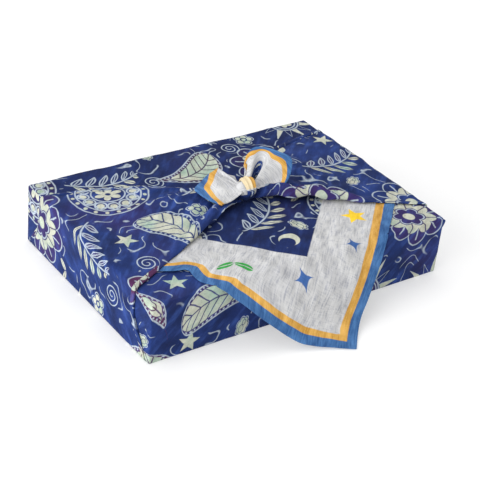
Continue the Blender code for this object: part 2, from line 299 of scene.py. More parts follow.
# The band over the knot: its turn in degrees from front to back, its shape, and its print,
# which has the hem along one side and navy at the front
BAND_START = -25.0
BAND_END = 205.0
BAND_ROWS = 48
BAND_COLUMNS = 16
BAND_PLEATS = 2.5
BAND_PLEAT_DEPTH = 0.0005
BAND_TUCK_TURN = 45.0
BAND_PINCH = 0.25
BAND_WIDTH = 0.0125
BAND_TUCK = 0.0035
BAND_CLEARANCE = 0.0012
BAND_CROWN = 0.0016
BAND_OFFSET = 0.0015
BAND_SLANT = 0.18
BAND_LOWEST = -0.0085
BAND_HEM = 0.0120
BAND_ALONG = 0.100
BAND_NAVY = 0.060
BAND_NAVY_TURN = 38.0
BAND_NAVY_FADE = 12.0

# Outlines of the two tails, from one side round the tip to the other, with how far each
# point lies from the cloth's corner along its edge
LEFT_TAIL = [
    dict(x=0.131, y=0.094, z=0.0720, edge=-0.036, turn=0.012),
    dict(x=0.1245, y=0.108, z=0.0725, edge=-0.018, turn=0.004),
    dict(x=0.1235, y=0.127, z=0.0715, edge=0.0, turn=0.0),
    dict(x=0.138, y=0.139, z=0.0720, edge=0.018, turn=0.003),
    dict(x=0.152, y=0.1450, z=0.0745, edge=0.034, turn=0.010),
    dict(x=0.1595, y=0.1450, z=0.0775, edge=0.042, turn=0.015),
    dict(x=0.163, y=0.138, z=0.0745, edge=0.048, turn=0.018),
    dict(x=0.169, y=0.130, z=0.0740, edge=0.056, turn=0.020),
]
LEFT_TAIL_ROOT = [dict(x=0.157, y=0.100, z=0.0745), dict(x=0.165, y=0.116, z=0.0755)]
LEFT_TAIL_LENGTH = 0.060
LEFT_TAIL_DENT = dict(place=0.62, width=0.050, depth=0.0030, lean=0.75, cloth=0.0)
RIGHT_TAIL = [
    dict(x=0.174, y=0.121, z=0.0790, edge=0.064, turn=0.019),
    dict(x=0.180, y=0.130, z=0.0890, edge=0.050, turn=0.013),
    dict(x=0.188, y=0.1345, z=0.0955, edge=0.040, turn=0.006),
    dict(x=0.197, y=0.133, z=0.0970, edge=0.030, turn=0.0025),
    dict(x=0.208, y=0.123, z=0.0955, edge=0.016, turn=0.0015),
    dict(x=0.218, y=0.111, z=0.0910, edge=0.0, turn=0.0),
    dict(x=0.212, y=0.102, z=0.0810, edge=-0.015, turn=0.003),
    dict(x=0.200, y=0.095, z=0.0735, edge=-0.031, turn=0.007),
]
RIGHT_TAIL_ROOT = [dict(x=0.168, y=0.114, z=0.0745), dict(x=0.175, y=0.104, z=0.0725)]
RIGHT_TAIL_LENGTH = 0.084
RIGHT_TAIL_DENT = dict(place=0.48, width=0.052, depth=0.0120, lean=0.66, cloth=0.165)

# Both tails: how they spread from the root, their dent and gathers, and the turned hem
TAIL_ROWS = 22
TAIL_COLUMNS = 60
TAIL_SPREAD = 0.9
TAIL_CROWN = 0.0025
DENT_FADE = 1.4
TAIL_ROOT_SHARE = 0.12
TAIL_GATHERS = 3
GATHER_DEPTH = 0.0009
GATHER_AT_ROOT = 0.6
GATHER_AT_RIM = 0.3
HEM_ROLL = 0.0008
HEM_TURNS = (60.0, 120.0, 180.0)
HEM_UNDER = 0.0035

# The small pinched fold at the front right corner, by height
PINCH_ROWS = [
    dict(z=0.0585, out=0.0000),
    dict(z=0.0560, out=0.0010),
    dict(z=0.0515, out=0.0075),
    dict(z=0.0460, out=0.0055),
    dict(z=0.0400, out=0.0010),
    dict(z=0.0370, out=0.0000),
]
PINCH_Y = 0.0052
PINCH_HALF_THICKNESS = 0.0013
PINCH_PITCH = 0.0012
PINCH_COLUMNS = 8
PINCH_ROOT = 0.0022
PINCH_BASE = 0.0012
PINCH_BULGE = 0.7
PINCH_SIDES = 0.6
PINCH_CLOTH = 0.004

# Light puckers all over, where the cloth is slack: heights in metres, and scales of the noise
PUCKERS = dict(Wide_Height=0.0034, Wide_Scale=19.0, Fine_Height=0.0011, Fine_Scale=70.0)


def place(x, y, z):
    """Points given from the front left bottom corner, as an array."""
    x, y, z = np.broadcast_arrays(x, y, z)
    return np.stack([x - LENGTH / 2, y - DEPTH / 2, z], axis=-1).astype(float)


def mix(low, high, share):
    return low + (high - low) * share


def smooth(share):
    share = np.clip(share, 0.0, 1.0)
    return share * share * (3 - 2 * share)


def follow(table, along, key, places):
    """A column of a table as a smooth curve over another column, read at the places."""
    rows = sorted(table, key=lambda row: row[along])
    at = np.array([row[along] for row in rows], float)
    value = np.array([row[key] for row in rows], float)
    secant = np.diff(value) / np.diff(at)
    slope = np.concatenate([secant[:1], (secant[:-1] + secant[1:]) / 2, secant[-1:]])
    flat = np.concatenate([[False], secant[:-1] * secant[1:] <= 0, [False]])
    slope[flat] = 0.0
    places = np.clip(places, at[0], at[-1])
    index = np.clip(np.searchsorted(at, places) - 1, 0, len(at) - 2)
    span = at[index + 1] - at[index]
    t = (places - at[index]) / span
    start = (1 + 2 * t) * (1 - t) ** 2 * value[index]
    end = t * t * (3 - 2 * t) * value[index + 1]
    lean = t * (1 - t) * span * ((1 - t) * slope[index] - t * slope[index + 1])
    return start + end + lean


def steps(start, end, pitch):
    """Even places from start to end, no further apart than the pitch."""
    count = max(1, math.ceil(abs(end - start) / pitch))
    return np.linspace(start, end, count + 1)


def edge_steps(half, bend, pitch):
    """Places across a face of the given half width, with closer ones in its bends."""
    outer = half - bend + bend * BEND_ROWS
    middle = steps(-(half - bend), half - bend, pitch)
    return np.concatenate([-outer, middle, outer[::-1]])


def hug(points, half, bend):
    """Moves points of a sharp box that stands on the table onto one with rounded edges."""
    centre = np.array([0.0, 0.0, half[2]])
    local = points - centre
    core = np.clip(local, -(half - bend), half - bend)
    out = local - core
    away = np.linalg.norm(out, axis=-1, keepdims=True)
    rounded = core + out / np.maximum(away, TINY) * bend
    return np.where(away > NO_BEND, rounded, local) + centre


def panel(points, across, along, slack):
    """A grid of points with its places on the flat cloth and how freely it may pucker."""
    shape = points.shape[:2]
    flat = np.stack([np.broadcast_to(across, shape), np.broadcast_to(along, shape)], axis=-1)
    return dict(points=points, flat=flat, slack=np.broadcast_to(slack, shape))


def off_table(z):
    """How freely the cloth may pucker at a height: not at all where it rests on the table."""
    return smooth((z - TABLE_HOLD) / TABLE_FADE)


def crease(points, flat, table):
    """Raises soft ridges and presses troughs along lines given on the flat cloth."""
    lift = np.zeros(flat.shape[:-1])
    for fold in table:
        start, end = np.array(fold["start"]), np.array(fold["end"])
        way = end - start
        share = np.clip((flat - start) @ way / (way @ way), 0.0, 1.0)
        away = np.linalg.norm(flat - start - share[..., None] * way, axis=-1)
        bump = np.sin(math.pi * share) ** CREASE_FADE * np.exp(-(away / fold["width"]) ** 2)
        lift += fold["height"] * bump
    normal = np.cross(np.gradient(points, axis=1), np.gradient(points, axis=0))
    normal = normal / np.maximum(np.linalg.norm(normal, axis=-1, keepdims=True), TINY)
    if np.sum(normal * points) < 0:
        normal = -normal
    return points + lift[..., None] * normal


def side_turns(half, bend, y, upright, across, along):
    """Where a layer of cloth turns round the left and right sides of the wrap."""
    panels = []
    slack = TURN_SLACK * off_table(upright)[:, None]
    for side in (-1, 1):
        grid_y, grid_z = np.meshgrid(y, upright)
        points = np.stack([np.full(grid_y.shape, side * half[0]), grid_y, grid_z], axis=-1)
        points = hug(points, half, bend)
        panels.append(panel(points, side * across[None, :], along[:, None], slack))
    return panels


def front_layer():
    """Bottom, front face and front flap in one run of cloth, and its turns round the sides."""
    half, bend = FRONT_HALF, FRONT_BEND
    x = edge_steps(half[0], bend, FINE)
    upright = edge_steps(half[2], bend, FINE) + half[2]
    bottom = np.concatenate([[half[1]], steps(half[1] - bend, bend - half[1], COARSE)])
    near_edge = -half[1] + bend * (1 - BEND_ROWS[1:])
    top = np.concatenate([near_edge, steps(bend - half[1], FRONT_FLAP_FINE, FINE)])
    top = np.concatenate([top, steps(FRONT_FLAP_FINE, FRONT_FLAP_END, COARSE)[1:]])
    y = np.concatenate([bottom, np.full(len(upright), -half[1]), top])
    z = np.concatenate([np.zeros(len(bottom)), upright, np.full(len(top), FRONT_TOP)])
    along = np.concatenate([bottom, -half[1] - upright, -half[1] - FRONT_TOP - (top + half[1])])
    grid_x, grid_y = np.meshgrid(x, y)
    points = np.stack([grid_x, grid_y, np.broadcast_to(z[:, None], grid_x.shape)], axis=-1)
    free = off_table(upright)
    slack = np.concatenate([np.zeros(len(bottom)), FACE_SLACK * free, np.ones(len(top))])
    flat = np.stack(np.broadcast_arrays(x[None, :], along[:, None]), axis=-1)
    points = crease(hug(points, half, bend), flat, FRONT_CREASES)
    panels = [panel(points, x[None, :], along[:, None], slack[:, None])]
    y = edge_steps(half[1], bend, FINE)
    y = np.concatenate([y[y < FRONT_TURN_END], steps(FRONT_TURN_END, half[1], COARSE)])
    return panels + side_turns(half, bend, y, upright, half[0] + y + half[1], -half[1] - upright)


def hang_rows():
    """Run, height and distance from the front edge down the corner that hangs over."""
    turns = np.linspace(0.0, HANG_BEND, HANG_BEND_ROWS + 1)[1:]
    y = list(HANG_ARC_Y - HANG_ARC * np.sin(turns))
    z = list(BACK_TOP - HANG_ARC + HANG_ARC * np.cos(turns))
    run = list(HANG_ARC * turns - HANG_ARC_Y)
    pitch = HANG_LENGTH / HANG_STEPS
    for middle in np.arange(0.5, HANG_STEPS) * pitch:
        slope = math.radians(float(follow(HANG_ROWS, "run", "slope", middle)))
        y.append(y[-1] - pitch * math.cos(slope))
        z.append(max(z[-1] - pitch * math.sin(slope), THICKNESS + TABLE_CLEARANCE))
        run.append(middle + pitch / 2)
    return np.array(run), np.array(y), np.array(z)


def gap_to_left_border(x, forward):
    """Distance from the back flap's left border, with the cloth laid flat over the front edge."""
    on_top = steps(BORDER_START, 0.0, BORDER_PITCH)
    hanging = steps(0.0, HANG_LENGTH, BORDER_PITCH)
    edge_x = np.concatenate([
        follow(BACK_BORDERS, "y", "left", on_top),
        follow(HANG_BORDERS, "run", "left", hanging),
    ])
    gap = np.full(np.broadcast_shapes(x.shape, forward.shape), HALF_DIAGONAL)
    for at_x, at_forward in zip(edge_x, np.concatenate([on_top, -hanging])):
        gap = np.minimum(gap, np.hypot(x - at_x, forward - at_forward))
    return gap


def from_both_borders(x, left_gap, hang_right):
    """Places on the flat cloth of points on the hanging corner, by distance from its borders."""
    right_way = math.hypot(EDGE_RIGHT - TIP_X, HANG_LENGTH)
    right_gap = (hang_right - x) * HANG_LENGTH / right_way
    across = (left_gap - right_gap) * math.sqrt(0.5)
    return across, HALF_DIAGONAL - (left_gap + right_gap) * math.sqrt(0.5)


def back_layer():
    """Back face, back flap and the bordered corner that hangs over the front edge."""
    half, bend = BACK_HALF, BACK_BEND
    x = edge_steps(half[0], bend, FINE)
    share = ((x + half[0]) / (2 * half[0]))[None, :]
    upright = edge_steps(half[2], bend, FINE) + half[2]
    near_edge = half[1] - bend * (1 - BEND_ROWS[1:])
    top = np.concatenate([near_edge, steps(half[1] - bend, HANG_ARC_Y - DEPTH / 2, FINE)])
    run, hang_y, hang_z = hang_rows()

    # The back face and the top
    y = np.concatenate([np.full(len(upright), half[1]), top])
    z = np.concatenate([upright, np.full(len(top), BACK_TOP)])
    from_front = y + DEPTH / 2
    left = follow(BACK_BORDERS, "y", "left", from_front)[:, None]
    right = follow(BACK_BORDERS, "y", "right", from_front)[:, None]
    grid_x = mix(left, right, share) - LENGTH / 2
    points = np.stack(np.broadcast_arrays(grid_x, y[:, None], z[:, None]), axis=-1)
    points = hug(points, half, bend)
    wave = BORDER_WAVE
    inwards = (grid_x + LENGTH / 2 - left - wave["inset"]) / wave["width"]
    forwards = (from_front[:, None] - wave["y"]) / wave["length"]
    points[..., 2] += wave["height"] * np.exp(-inwards ** 2 - forwards ** 2)
    along = np.concatenate([half[1] + upright, half[1] + BACK_TOP + (half[1] - top)])

    # The hanging corner
    down = (np.clip(run, 0.0, None) / HANG_LENGTH)[:, None]
    hang_left = follow(HANG_BORDERS, "run", "left", run)[:, None]
    hang_right = mix(EDGE_RIGHT, TIP_X + TIP_WIDTH, down)
    hang_x = mix(hang_left, hang_right, share) - LENGTH / 2
    swing = CORNER_WAVE_HEIGHT * np.sin(2 * math.pi * CORNER_WAVES * down) * np.sin(math.pi * down)
    swung_y = hang_y[:, None] - DEPTH / 2 - swing * (1 - share) ** 3
    hang_points = np.broadcast_arrays(hang_x, swung_y, hang_z[:, None])
    points = np.concatenate([points, np.stack(hang_points, axis=-1)])
    grid_x = np.concatenate([grid_x, hang_x - (TIP_X - LENGTH / 2) * down])
    shift = -LENGTH / 2 - (TIP_X - LENGTH / 2) * down
    left = np.concatenate([left - LENGTH / 2, hang_left + shift])
    right = np.concatenate([right - LENGTH / 2, hang_right + shift])
    along = np.concatenate([along, half[1] + BACK_TOP + half[1] + DEPTH / 2 + run])[:, None]

    # Near the left border the print is set by its distance from it, so that the bands follow it
    border = along - HALF_DIAGONAL
    forward = np.concatenate([from_front, -run])[:, None]
    wrap_x = np.concatenate([grid_x[:len(from_front)], hang_x]) + LENGTH / 2
    left_gap = gap_to_left_border(wrap_x, forward)
    hold = np.minimum(BORDER_HOLD, NARROW_HOLD * (right - left))
    reach = np.minimum(BORDER_SQUEEZE, right - left)
    pulled = smooth((reach - (grid_x - left)) / (reach - hold))
    pulled = pulled * smooth((SQUEEZE_START - forward) / SQUEEZE_FADE)
    across = grid_x + pulled * (border + math.sqrt(2) * left_gap - grid_x)
    free = FACE_SLACK * off_table(upright)
    slack = np.concatenate([free, np.ones(len(top) + len(run))])[:, None]
    along = np.broadcast_to(along, across.shape).copy()
    hanging = slice(-len(run), None)
    tip_across, tip_along = from_both_borders(wrap_x[hanging], left_gap[hanging], hang_right)
    near_tip = smooth(down / TIP_BLEND)
    across[hanging] = mix(across[hanging], tip_across, near_tip)
    along[hanging] = mix(along[hanging], tip_along, near_tip)
    points = crease(points, np.stack([across, along], axis=-1), BACK_CREASES)
    panels = [panel(points, across, along, slack)]
    y = edge_steps(half[1], bend, FINE)
    y = y[y > BACK_TURN_START]
    return panels + side_turns(half, bend, y, upright, half[0] + half[1] - y, half[1] + upright)


def strip_rows(table):
    """Rows of a side strip from under the wrap to the knot: place, outward way and section."""
    bend = STRIP_BEND
    rows = []

    def row(reach, z, turn, front, back, cloth, roll=0.0, near=0.0):
        rows.append(dict(reach=reach, z=z, turn=turn, front=front, back=back,
                         cloth=cloth, roll=roll, near=near))

    start = SIDE_ROWS[0]
    for reach in UNDER_REACHES:
        row(reach, UNDER_HEIGHT, -math.pi / 2, start["front"], start["back"], LENGTH / 2 - reach)
    for turn in -np.radians([90.0, *reversed(STRIP_TURNS)]):
        row(bend * (1 - math.cos(turn)), bend * (1 + math.sin(turn)), turn,
            start["front"], start["back"], LENGTH / 2 - bend * (-turn) * 0.5)
    for z in steps(bend, STRIP_TOP - bend, FINE):
        front, back = (float(follow(SIDE_ROWS, "z", key, z)) for key in ("front", "back"))
        row(0.0, z, 0.0, front, back, LENGTH / 2 + z)
    for turn in np.radians(STRIP_TURNS):
        front, back = SIDE_ROWS[-1]["front"], SIDE_ROWS[-1]["back"]
        row(bend * (1 - math.cos(turn)), STRIP_TOP - bend * (1 - math.sin(turn)), turn,
            front, back, LENGTH / 2 + STRIP_TOP - bend * (1 - turn))
    last = table[-1]["reach"]
    for reach in steps(bend, last, STRIP_PITCH):
        near = float(smooth((reach - RISE_START) / (last - RISE_START)))
        front, back, roll = (
            float(follow(table, "reach", key, reach)) for key in ("front", "back", "roll")
        )
        row(reach, STRIP_TOP + EDGE_RISE * KNOT_RISE * near ** 2, math.pi / 2, front, back,
            LENGTH / 2 + HEIGHT + reach, roll, near)
    return rows


def strip_section(line):
    """Places along y and up from the level across a strip, from its front fold backwards."""
    width = line["back"] - line["front"]
    size = min(ROLL_SIZE, ROLL_SHARE * width)
    at = np.linspace(0.0, 1.0, ROLL_COLUMNS + 1)
    roll, near = line["roll"], line["near"]
    flat_scale = min(1.0, width / FLAT_FULL_WIDTH)
    inwards = mix(
        follow(FLAT_SECTION, "place", "inwards", at) * flat_scale,
        follow(ROLL_SECTION, "place", "inwards", at) * size,
        smooth(roll * ROLL_SOON),
    )
    up_roll = mix(
        follow(FLAT_SECTION, "place", "up", at), follow(ROLL_SECTION, "place", "up", at) * size, roll
    )
    twist = 2 * math.pi * (at * ROLL_TWIST["turns"] - line["reach"] / ROLL_TWIST["pitch"])
    up_roll = up_roll + ROLL_TWIST["depth"] * roll * np.cos(twist) * smooth(at * ROLL_SOON)
    share = np.arange(1, TENT_COLUMNS + 1) / TENT_COLUMNS
    start = line["front"] + inwards[-1]
    gathered = ROLL_PLEAT_DEPTH * near ** 2 * roll * smooth((at - ROLL_PLEAT_START) * ROLL_SOON)
    up_roll = up_roll + gathered * np.cos(2 * math.pi * ROLL_PLEATS * at)
    tent = TENT_RISE * KNOT_RISE * near * np.sin(math.pi * share) ** TENT_ROUNDNESS
    tent = tent * (1 - TENT_LOSS_AT_ROLL * roll)
    fold = PLEAT_DEPTH * near * np.sin(2 * math.pi * PLEATS * share)
    for ridge in STRIP_FOLDS:
        grown = smooth((near - ridge["start"]) / FOLD_GROWTH) * ridge["height"]
        away = np.abs((share - ridge["share"]) / ridge["width"])
        fold = fold + grown * np.exp(-away ** FOLD_SHARPNESS)
    up = mix(up_roll[-1], 0.0, smooth(share)) + tent + fold * np.sqrt(np.sin(math.pi * share))
    along = np.concatenate([line["front"] + inwards, mix(start, line["back"], share)])
    rise = np.concatenate([up_roll, np.maximum(up, 0.0)])
    back_along, back_up = np.array(BACK_EDGE).T
    return np.append(along, line["back"] + back_along), np.append(rise, back_up)


def side_strip(table, side):
    """A strip of cloth from under the wrap, up its side face and over the top to the knot."""
    points, across, along, slack = [], [], [], []
    for line in strip_rows(table):
        y, up = strip_section(line)
        out = np.array([-math.cos(line["turn"]), 0.0, math.sin(line["turn"])])
        base = place(line["reach"], y, line["z"]) + up[:, None] * out
        if side > 0:
            base = base * np.array([-1.0, 1.0, 1.0])
        run = np.append(0.0, np.cumsum(np.linalg.norm(np.diff(base, axis=0), axis=1)))
        points.append(base)
        across.append(np.full(len(y), line["cloth"]))
        flat_part = slice(ROLL_COLUMNS // 2, -len(BACK_EDGE))
        along.append(run - np.interp(DEPTH / 2, y[flat_part], run[flat_part]))
        slack.append(np.full(len(y), off_table(line["z"])))
    points, across, along = np.array(points), np.array(across), np.array(along)
    points = crease(points, np.stack([across, along], axis=-1), SIDE_CREASES)
    return [panel(points, side * across, along, np.array(slack))]


def knot_core():
    """The lump of the knot, with folds that turn round it from left to right."""
    around = np.linspace(0.0, 2 * math.pi, CORE_COLUMNS + 1)[None, :]
    tilt = np.linspace(0.0, math.pi, CORE_ROWS + 1)[:, None]
    folds = sum(
        fold["height"] * np.cos(fold["count"] * around + fold["twist"] * np.cos(tilt))
        for fold in CORE_FOLDS
    )
    wide = np.sin(tilt) ** CORE_BULGE * (1.0 + folds * np.sin(tilt))
    x = KNOT_CENTRE[0] - KNOT_RADII[0] * np.cos(tilt) * np.ones_like(around)
    y = KNOT_CENTRE[1] - KNOT_RADII[1] * wide * np.cos(around)
    z = KNOT_CENTRE[2] + KNOT_RADII[2] * wide * np.sin(around)
    pale = CORE_NAVY["left"] * np.cos(tilt) + CORE_NAVY["high"] * np.sin(around)
    navy = smooth(CORE_NAVY["start"] - CORE_NAVY["gain"] * pale)
    across = CORE_ACROSS + CORE_NAVY_SHIFT * navy
    return [panel(place(x, y, z), across, CORE_ALONG * np.sin(around), CORE_SLACK)]


def knot_band():
    """The loop of cloth that passes over the knot from front to back."""
    degrees = np.linspace(BAND_START, BAND_END, BAND_ROWS + 1)[:, None]
    turn = np.radians(degrees)
    share = np.linspace(-0.5, 0.5, BAND_COLUMNS + 1)[None, :]
    pleat = BAND_PLEAT_DEPTH * np.sin(2 * math.pi * BAND_PLEATS * share)
    out = BAND_CLEARANCE + BAND_CROWN * np.cos(math.pi * share) + pleat
    shown = smooth((degrees - BAND_START) / BAND_TUCK_TURN)
    shown = shown * smooth((BAND_END - degrees) / BAND_TUCK_TURN)
    out = out - BAND_TUCK * (1 - shown)
    y = -(KNOT_RADII[1] + out) * np.cos(turn)
    z = np.maximum((KNOT_RADII[2] + out) * np.sin(turn), BAND_LOWEST)
    pinch = 1.0 - BAND_PINCH * np.cos(turn) ** 2
    x = BAND_OFFSET + share * BAND_WIDTH * pinch + BAND_SLANT * y
    points = place(KNOT_CENTRE[0] + x, KNOT_CENTRE[1] + y, KNOT_CENTRE[2] + z)
    from_edge = BAND_HEM + BAND_WIDTH * (0.5 - share)
    from_edge = from_edge + BAND_NAVY * smooth((BAND_NAVY_TURN - degrees) / BAND_NAVY_FADE)
    across = HALF_DIAGONAL - BAND_ALONG - math.sqrt(2) * from_edge
    return [panel(points, across, BAND_ALONG, BAND_SLACK)]


def hem_place(edge, inside_hem):
    """Place on the flat cloth at a distance along an edge from the corner and in from it."""
    along_edge = np.abs(edge)
    across = HALF_DIAGONAL - (along_edge + inside_hem) / math.sqrt(2)
    return across, np.sign(edge) * (along_edge - inside_hem) / math.sqrt(2)


def tail(side, outline, root, cloth_length, dent):
    """A free corner of the cloth, fanned out from its root in the knot, with a dent along it."""
    last = len(outline) - 1
    for index, point in enumerate(outline):
        point["place"] = index / last
    at = np.linspace(0.0, 1.0, TAIL_COLUMNS + 1)
    out = np.linspace(0.0, 1.0, TAIL_ROWS + 1)[:, None]
    keys = ("x", "y", "z", "edge", "turn")
    end = {key: follow(outline, "place", key, at)[None, :] for key in keys}
    start = {key: mix(root[0][key], root[1][key], at)[None, :] for key in ("x", "y", "z")}
    at = at[None, :]
    spread = out ** TAIL_SPREAD
    x, y = (mix(start[key], end[key], spread) for key in ("x", "y"))
    belly = np.sin(math.pi * out)
    z = mix(start["z"], end["z"], out) - TAIL_CROWN * belly * np.cos(2 * math.pi * at)
    fade = (1 - out) ** GATHER_AT_ROOT * out ** GATHER_AT_RIM
    z = z + GATHER_DEPTH * fade * (2 * np.abs(np.cos(math.pi * TAIL_GATHERS * at)) - 1)
    dented = np.exp(-((at - dent["place"]) / dent["width"]) ** 2)
    dented = dented * np.sin(math.pi * out ** dent["lean"]) ** DENT_FADE
    z = z - dent["depth"] * dented
    edge = end["edge"]
    rim_across, rim_along = hem_place(edge, end["turn"])
    across = mix(HALF_DIAGONAL - cloth_length, rim_across, out) - dent["cloth"] * dented
    along = mix(TAIL_ROOT_SHARE * edge, rim_along, out)
    points = place(x, y, z)

    # The hem turns under in a small roll
    rim = points[-1]
    inwards = points[-2] - rim
    inwards = inwards / np.linalg.norm(inwards, axis=-1, keepdims=True)
    above = np.cross(np.gradient(rim, axis=0), inwards)
    above = above * np.sign(above[:, 2:]) / np.linalg.norm(above, axis=-1, keepdims=True)
    under = [(math.sin(bend), 1 - math.cos(bend), bend) for bend in np.radians(HEM_TURNS)]
    tuck = HEM_UNDER / HEM_ROLL
    under.append((-tuck, 2.0, math.pi + tuck))
    for forwards, down, run in under:
        row = rim - HEM_ROLL * (forwards * inwards + down * above)
        hidden = np.maximum(end["turn"] - HEM_ROLL * run, 0.0)
        row_across, row_along = hem_place(edge, hidden)
        points = np.concatenate([points, row[None]])
        across = np.concatenate([across, row_across])
        along = np.concatenate([along, row_along])
    slack = TAIL_SLACK * np.append(out[:, 0], np.ones(len(under)))[:, None]
    return [panel(points, side * across, along, slack)]


def pinched_corner():
    """The small fold pinched out at the front right corner."""
    z = steps(PINCH_ROWS[-1]["z"], PINCH_ROWS[0]["z"], PINCH_PITCH)[:, None]
    out = np.maximum(follow(PINCH_ROWS, "z", "out", z), 0.0)
    turn = np.linspace(-1.0, 1.0, PINCH_COLUMNS + 1)[None, :]
    x = LENGTH - PINCH_ROOT + (out + PINCH_BASE) * (1 - turn ** 2) ** PINCH_BULGE
    y = PINCH_Y + PINCH_HALF_THICKNESS * turn * (PINCH_SIDES + PINCH_SIDES * turn ** 2)
    across = LENGTH / 2 + out * (1 - np.abs(turn)) + PINCH_CLOTH * turn
    return [panel(place(x, y, z), across, -DEPTH / 2 - z, 0.0)]


def cloth_mesh(panels):
    """One mesh from all panels, with faces outwards, a UV map of the flat cloth and slack."""
    points, faces, flat, slack = [], [], [], []
    centre = np.array([0.0, 0.0, HEIGHT / 3])
    count = 0
    for part in panels:
        rows, columns = part["points"].shape[:2]
        grid = np.arange(rows * columns).reshape(rows, columns) + count
        quads = np.stack(
            [grid[:-1, :-1], grid[:-1, 1:], grid[1:, 1:], grid[1:, :-1]], axis=-1
        ).reshape(-1, 4)
        flat_points = part["points"].reshape(-1, 3)
        corners = flat_points[quads - count]
        normal = np.cross(corners[:, 2] - corners[:, 0], corners[:, 3] - corners[:, 1])
        if np.sum(normal * (corners.mean(axis=1) - centre)) < 0:
            quads = quads[:, ::-1]
        points.append(flat_points)
        faces.append(quads)
        flat.append(part["flat"].reshape(-1, 2))
        slack.append(part["slack"].reshape(-1))
        count += rows * columns
    points, faces = np.concatenate(points), np.concatenate(faces)
    flat, slack = np.concatenate(flat), np.concatenate(slack)
    mesh = bpy.data.meshes.new("wrapped_cloth")
    mesh.from_pydata(points.tolist(), [], faces.tolist())
    uv = mesh.uv_layers.new(name="flat_cloth")
    uv.data.foreach_set("uv", flat[faces.reshape(-1)].astype(np.float32).ravel())
    kept_slack = mesh.attributes.new("slack", "FLOAT", "POINT")
    kept_slack.data.foreach_set("value", slack.astype(np.float32))
    joined = bmesh.new()
    joined.from_mesh(mesh)
    bmesh.ops.remove_doubles(joined, verts=joined.verts, dist=WELD)
    joined.to_mesh(mesh)
    joined.free()
    mesh.shade_smooth()
    return mesh


class Value:
    """A number in a node tree. Arithmetic on it adds Math nodes to the tree."""

    def __init__(self, tree, socket):
        self.tree = tree
        self.socket = socket

    def math(self, operation, *others, clamp=False):
        node = self.tree.nodes.new("ShaderNodeMath")
        node.operation = operation
        node.use_clamp = clamp
        for item, slot in zip((self,) + others, node.inputs):
            feed(item, slot)
        return Value(self.tree, node.outputs[0])

    def __add__(self, other):
        return self.math("ADD", other)

    def __sub__(self, other):
        return self.math("SUBTRACT", other)

    def __mul__(self, other):
        return self.math("MULTIPLY", other)

    def __truediv__(self, other):
        return self.math("DIVIDE", other)

    def __rsub__(self, other):
        return self.math("MULTIPLY_ADD", -1.0, other)

    def __neg__(self):
        return self.math("MULTIPLY", -1.0)

    def __abs__(self):
        return self.math("ABSOLUTE")

    def root(self):
        return self.math("SQRT")

    def high(self, other):
        return self.math("MAXIMUM", other)

    def low(self, other):
        return self.math("MINIMUM", other)


def feed(item, slot):
    """Links a value to a socket, or writes a plain number or colour into it."""
    if isinstance(item, Value):
        item.tree.links.new(item.socket, slot)
    else:
        slot.default_value = item


def new_group(name, inputs, outputs):
    """A node group with named number sockets: the group and the values of its inputs."""
    tree = bpy.data.node_groups.new(name, "ShaderNodeTree")
    for label in inputs:
        tree.interface.new_socket(label, in_out="INPUT", socket_type="NodeSocketFloat")
    for label in outputs:
        kind = "NodeSocketColor" if label.endswith("Colour") else "NodeSocketFloat"
        tree.interface.new_socket(label, in_out="OUTPUT", socket_type=kind)
    source = tree.nodes.new("NodeGroupInput")
    return tree, [Value(tree, source.outputs[label]) for label in inputs]


def put_out(tree, **values):
    end = tree.nodes.new("NodeGroupOutput")
    for label, item in values.items():
        feed(item, end.inputs[label.replace("_", " ")])


def use(tree, group, *inputs):
    """Places a group in a tree and returns the values of its outputs."""
    node = tree.nodes.new("ShaderNodeGroup")
    node.node_tree = group
    for item, slot in zip(inputs, node.inputs):
        feed(item, slot)
    return [Value(tree, socket) for socket in node.outputs]


# The motifs of the print fill a circle of radius 1, and their measures are shares of it
BIG_LINE = 0.036
BIG_SOFT = 0.022
SMALL_LINE = 0.085
SMALL_SOFT = 0.05

# Rings of petals: number, radius at the tips and between them, and turn in petals
FLOWER_RINGS = [
    dict(count=8, tip=0.97, notch=0.74),
    dict(count=8, tip=0.68, notch=0.50, start=0.5),
    dict(count=6, tip=0.38, notch=0.27, start=0.2),
]
FLOWER = dict(veins_end=0.84, outer_gap=0.02, inner_gap=0.05, rib=0.9, heart=0.15)
MEDALLION_RINGS = (0.95, 0.77, 0.40)
MEDALLION_BEADS = dict(count=20, at=0.86, size=0.048)
MEDALLION_SCALLOPS = [
    dict(count=12, at=0.78, size=0.16),
    dict(count=12, at=0.60, size=0.14, start=0.5),
]
MEDALLION_FLOWER = dict(count=6, tip=0.34, notch=0.12)
MEDALLION = dict(scallops_end=0.78, scale_inset=0.05, heart=0.07)
SPRAY = dict(bend=0.36, drop=0.14, width=0.46, lean=0.75, pitch=0.31, leaf=0.088,
             stem_gap=0.03, leaves_end=0.88, stem_end=0.95, least=0.02)
SPRAY_LINES = dict(rib=0.8, stem=1.2)
PLUME = dict(bend=-0.42, rise=0.18, taper=-0.30, width=0.44, inset=0.10,
             vein_count=4.2, vein_lean=3.4, vein_reach=0.24,
             dot_count=9.0, dot_reach=0.11, dot_inset=0.05, dot=0.024)
BURST = dict(rays=14, sharpness=1.7, uneven=-0.17, reach=0.56, start=0.42, ring=0.34,
             overlap=0.01, inset=0.02, gap=0.04, filled=0.55, filled_soft=0.04, heart=0.09)
BURST_ROSETTE = dict(count=7, tip=0.27, notch=0.19, start=0.5)
STAR = dict(points=5, forward=0.351, sideways=0.937)
BLOSSOM_PETALS = dict(count=5, tip=0.95, notch=0.62)
BLOSSOM = dict(inset=0.16, gap=0.34, cut=0.8, heart=0.19)
SPARKLE_SOFT = 0.10
CRESCENT = dict(disc=0.86, bite=0.66, bite_x=0.40, bite_y=0.12)
CLOUD_LOBES = dict(count=7, tip=0.96, notch=0.76)
CLOUD = dict(flatness=1.7, inset=0.14, line=0.8)
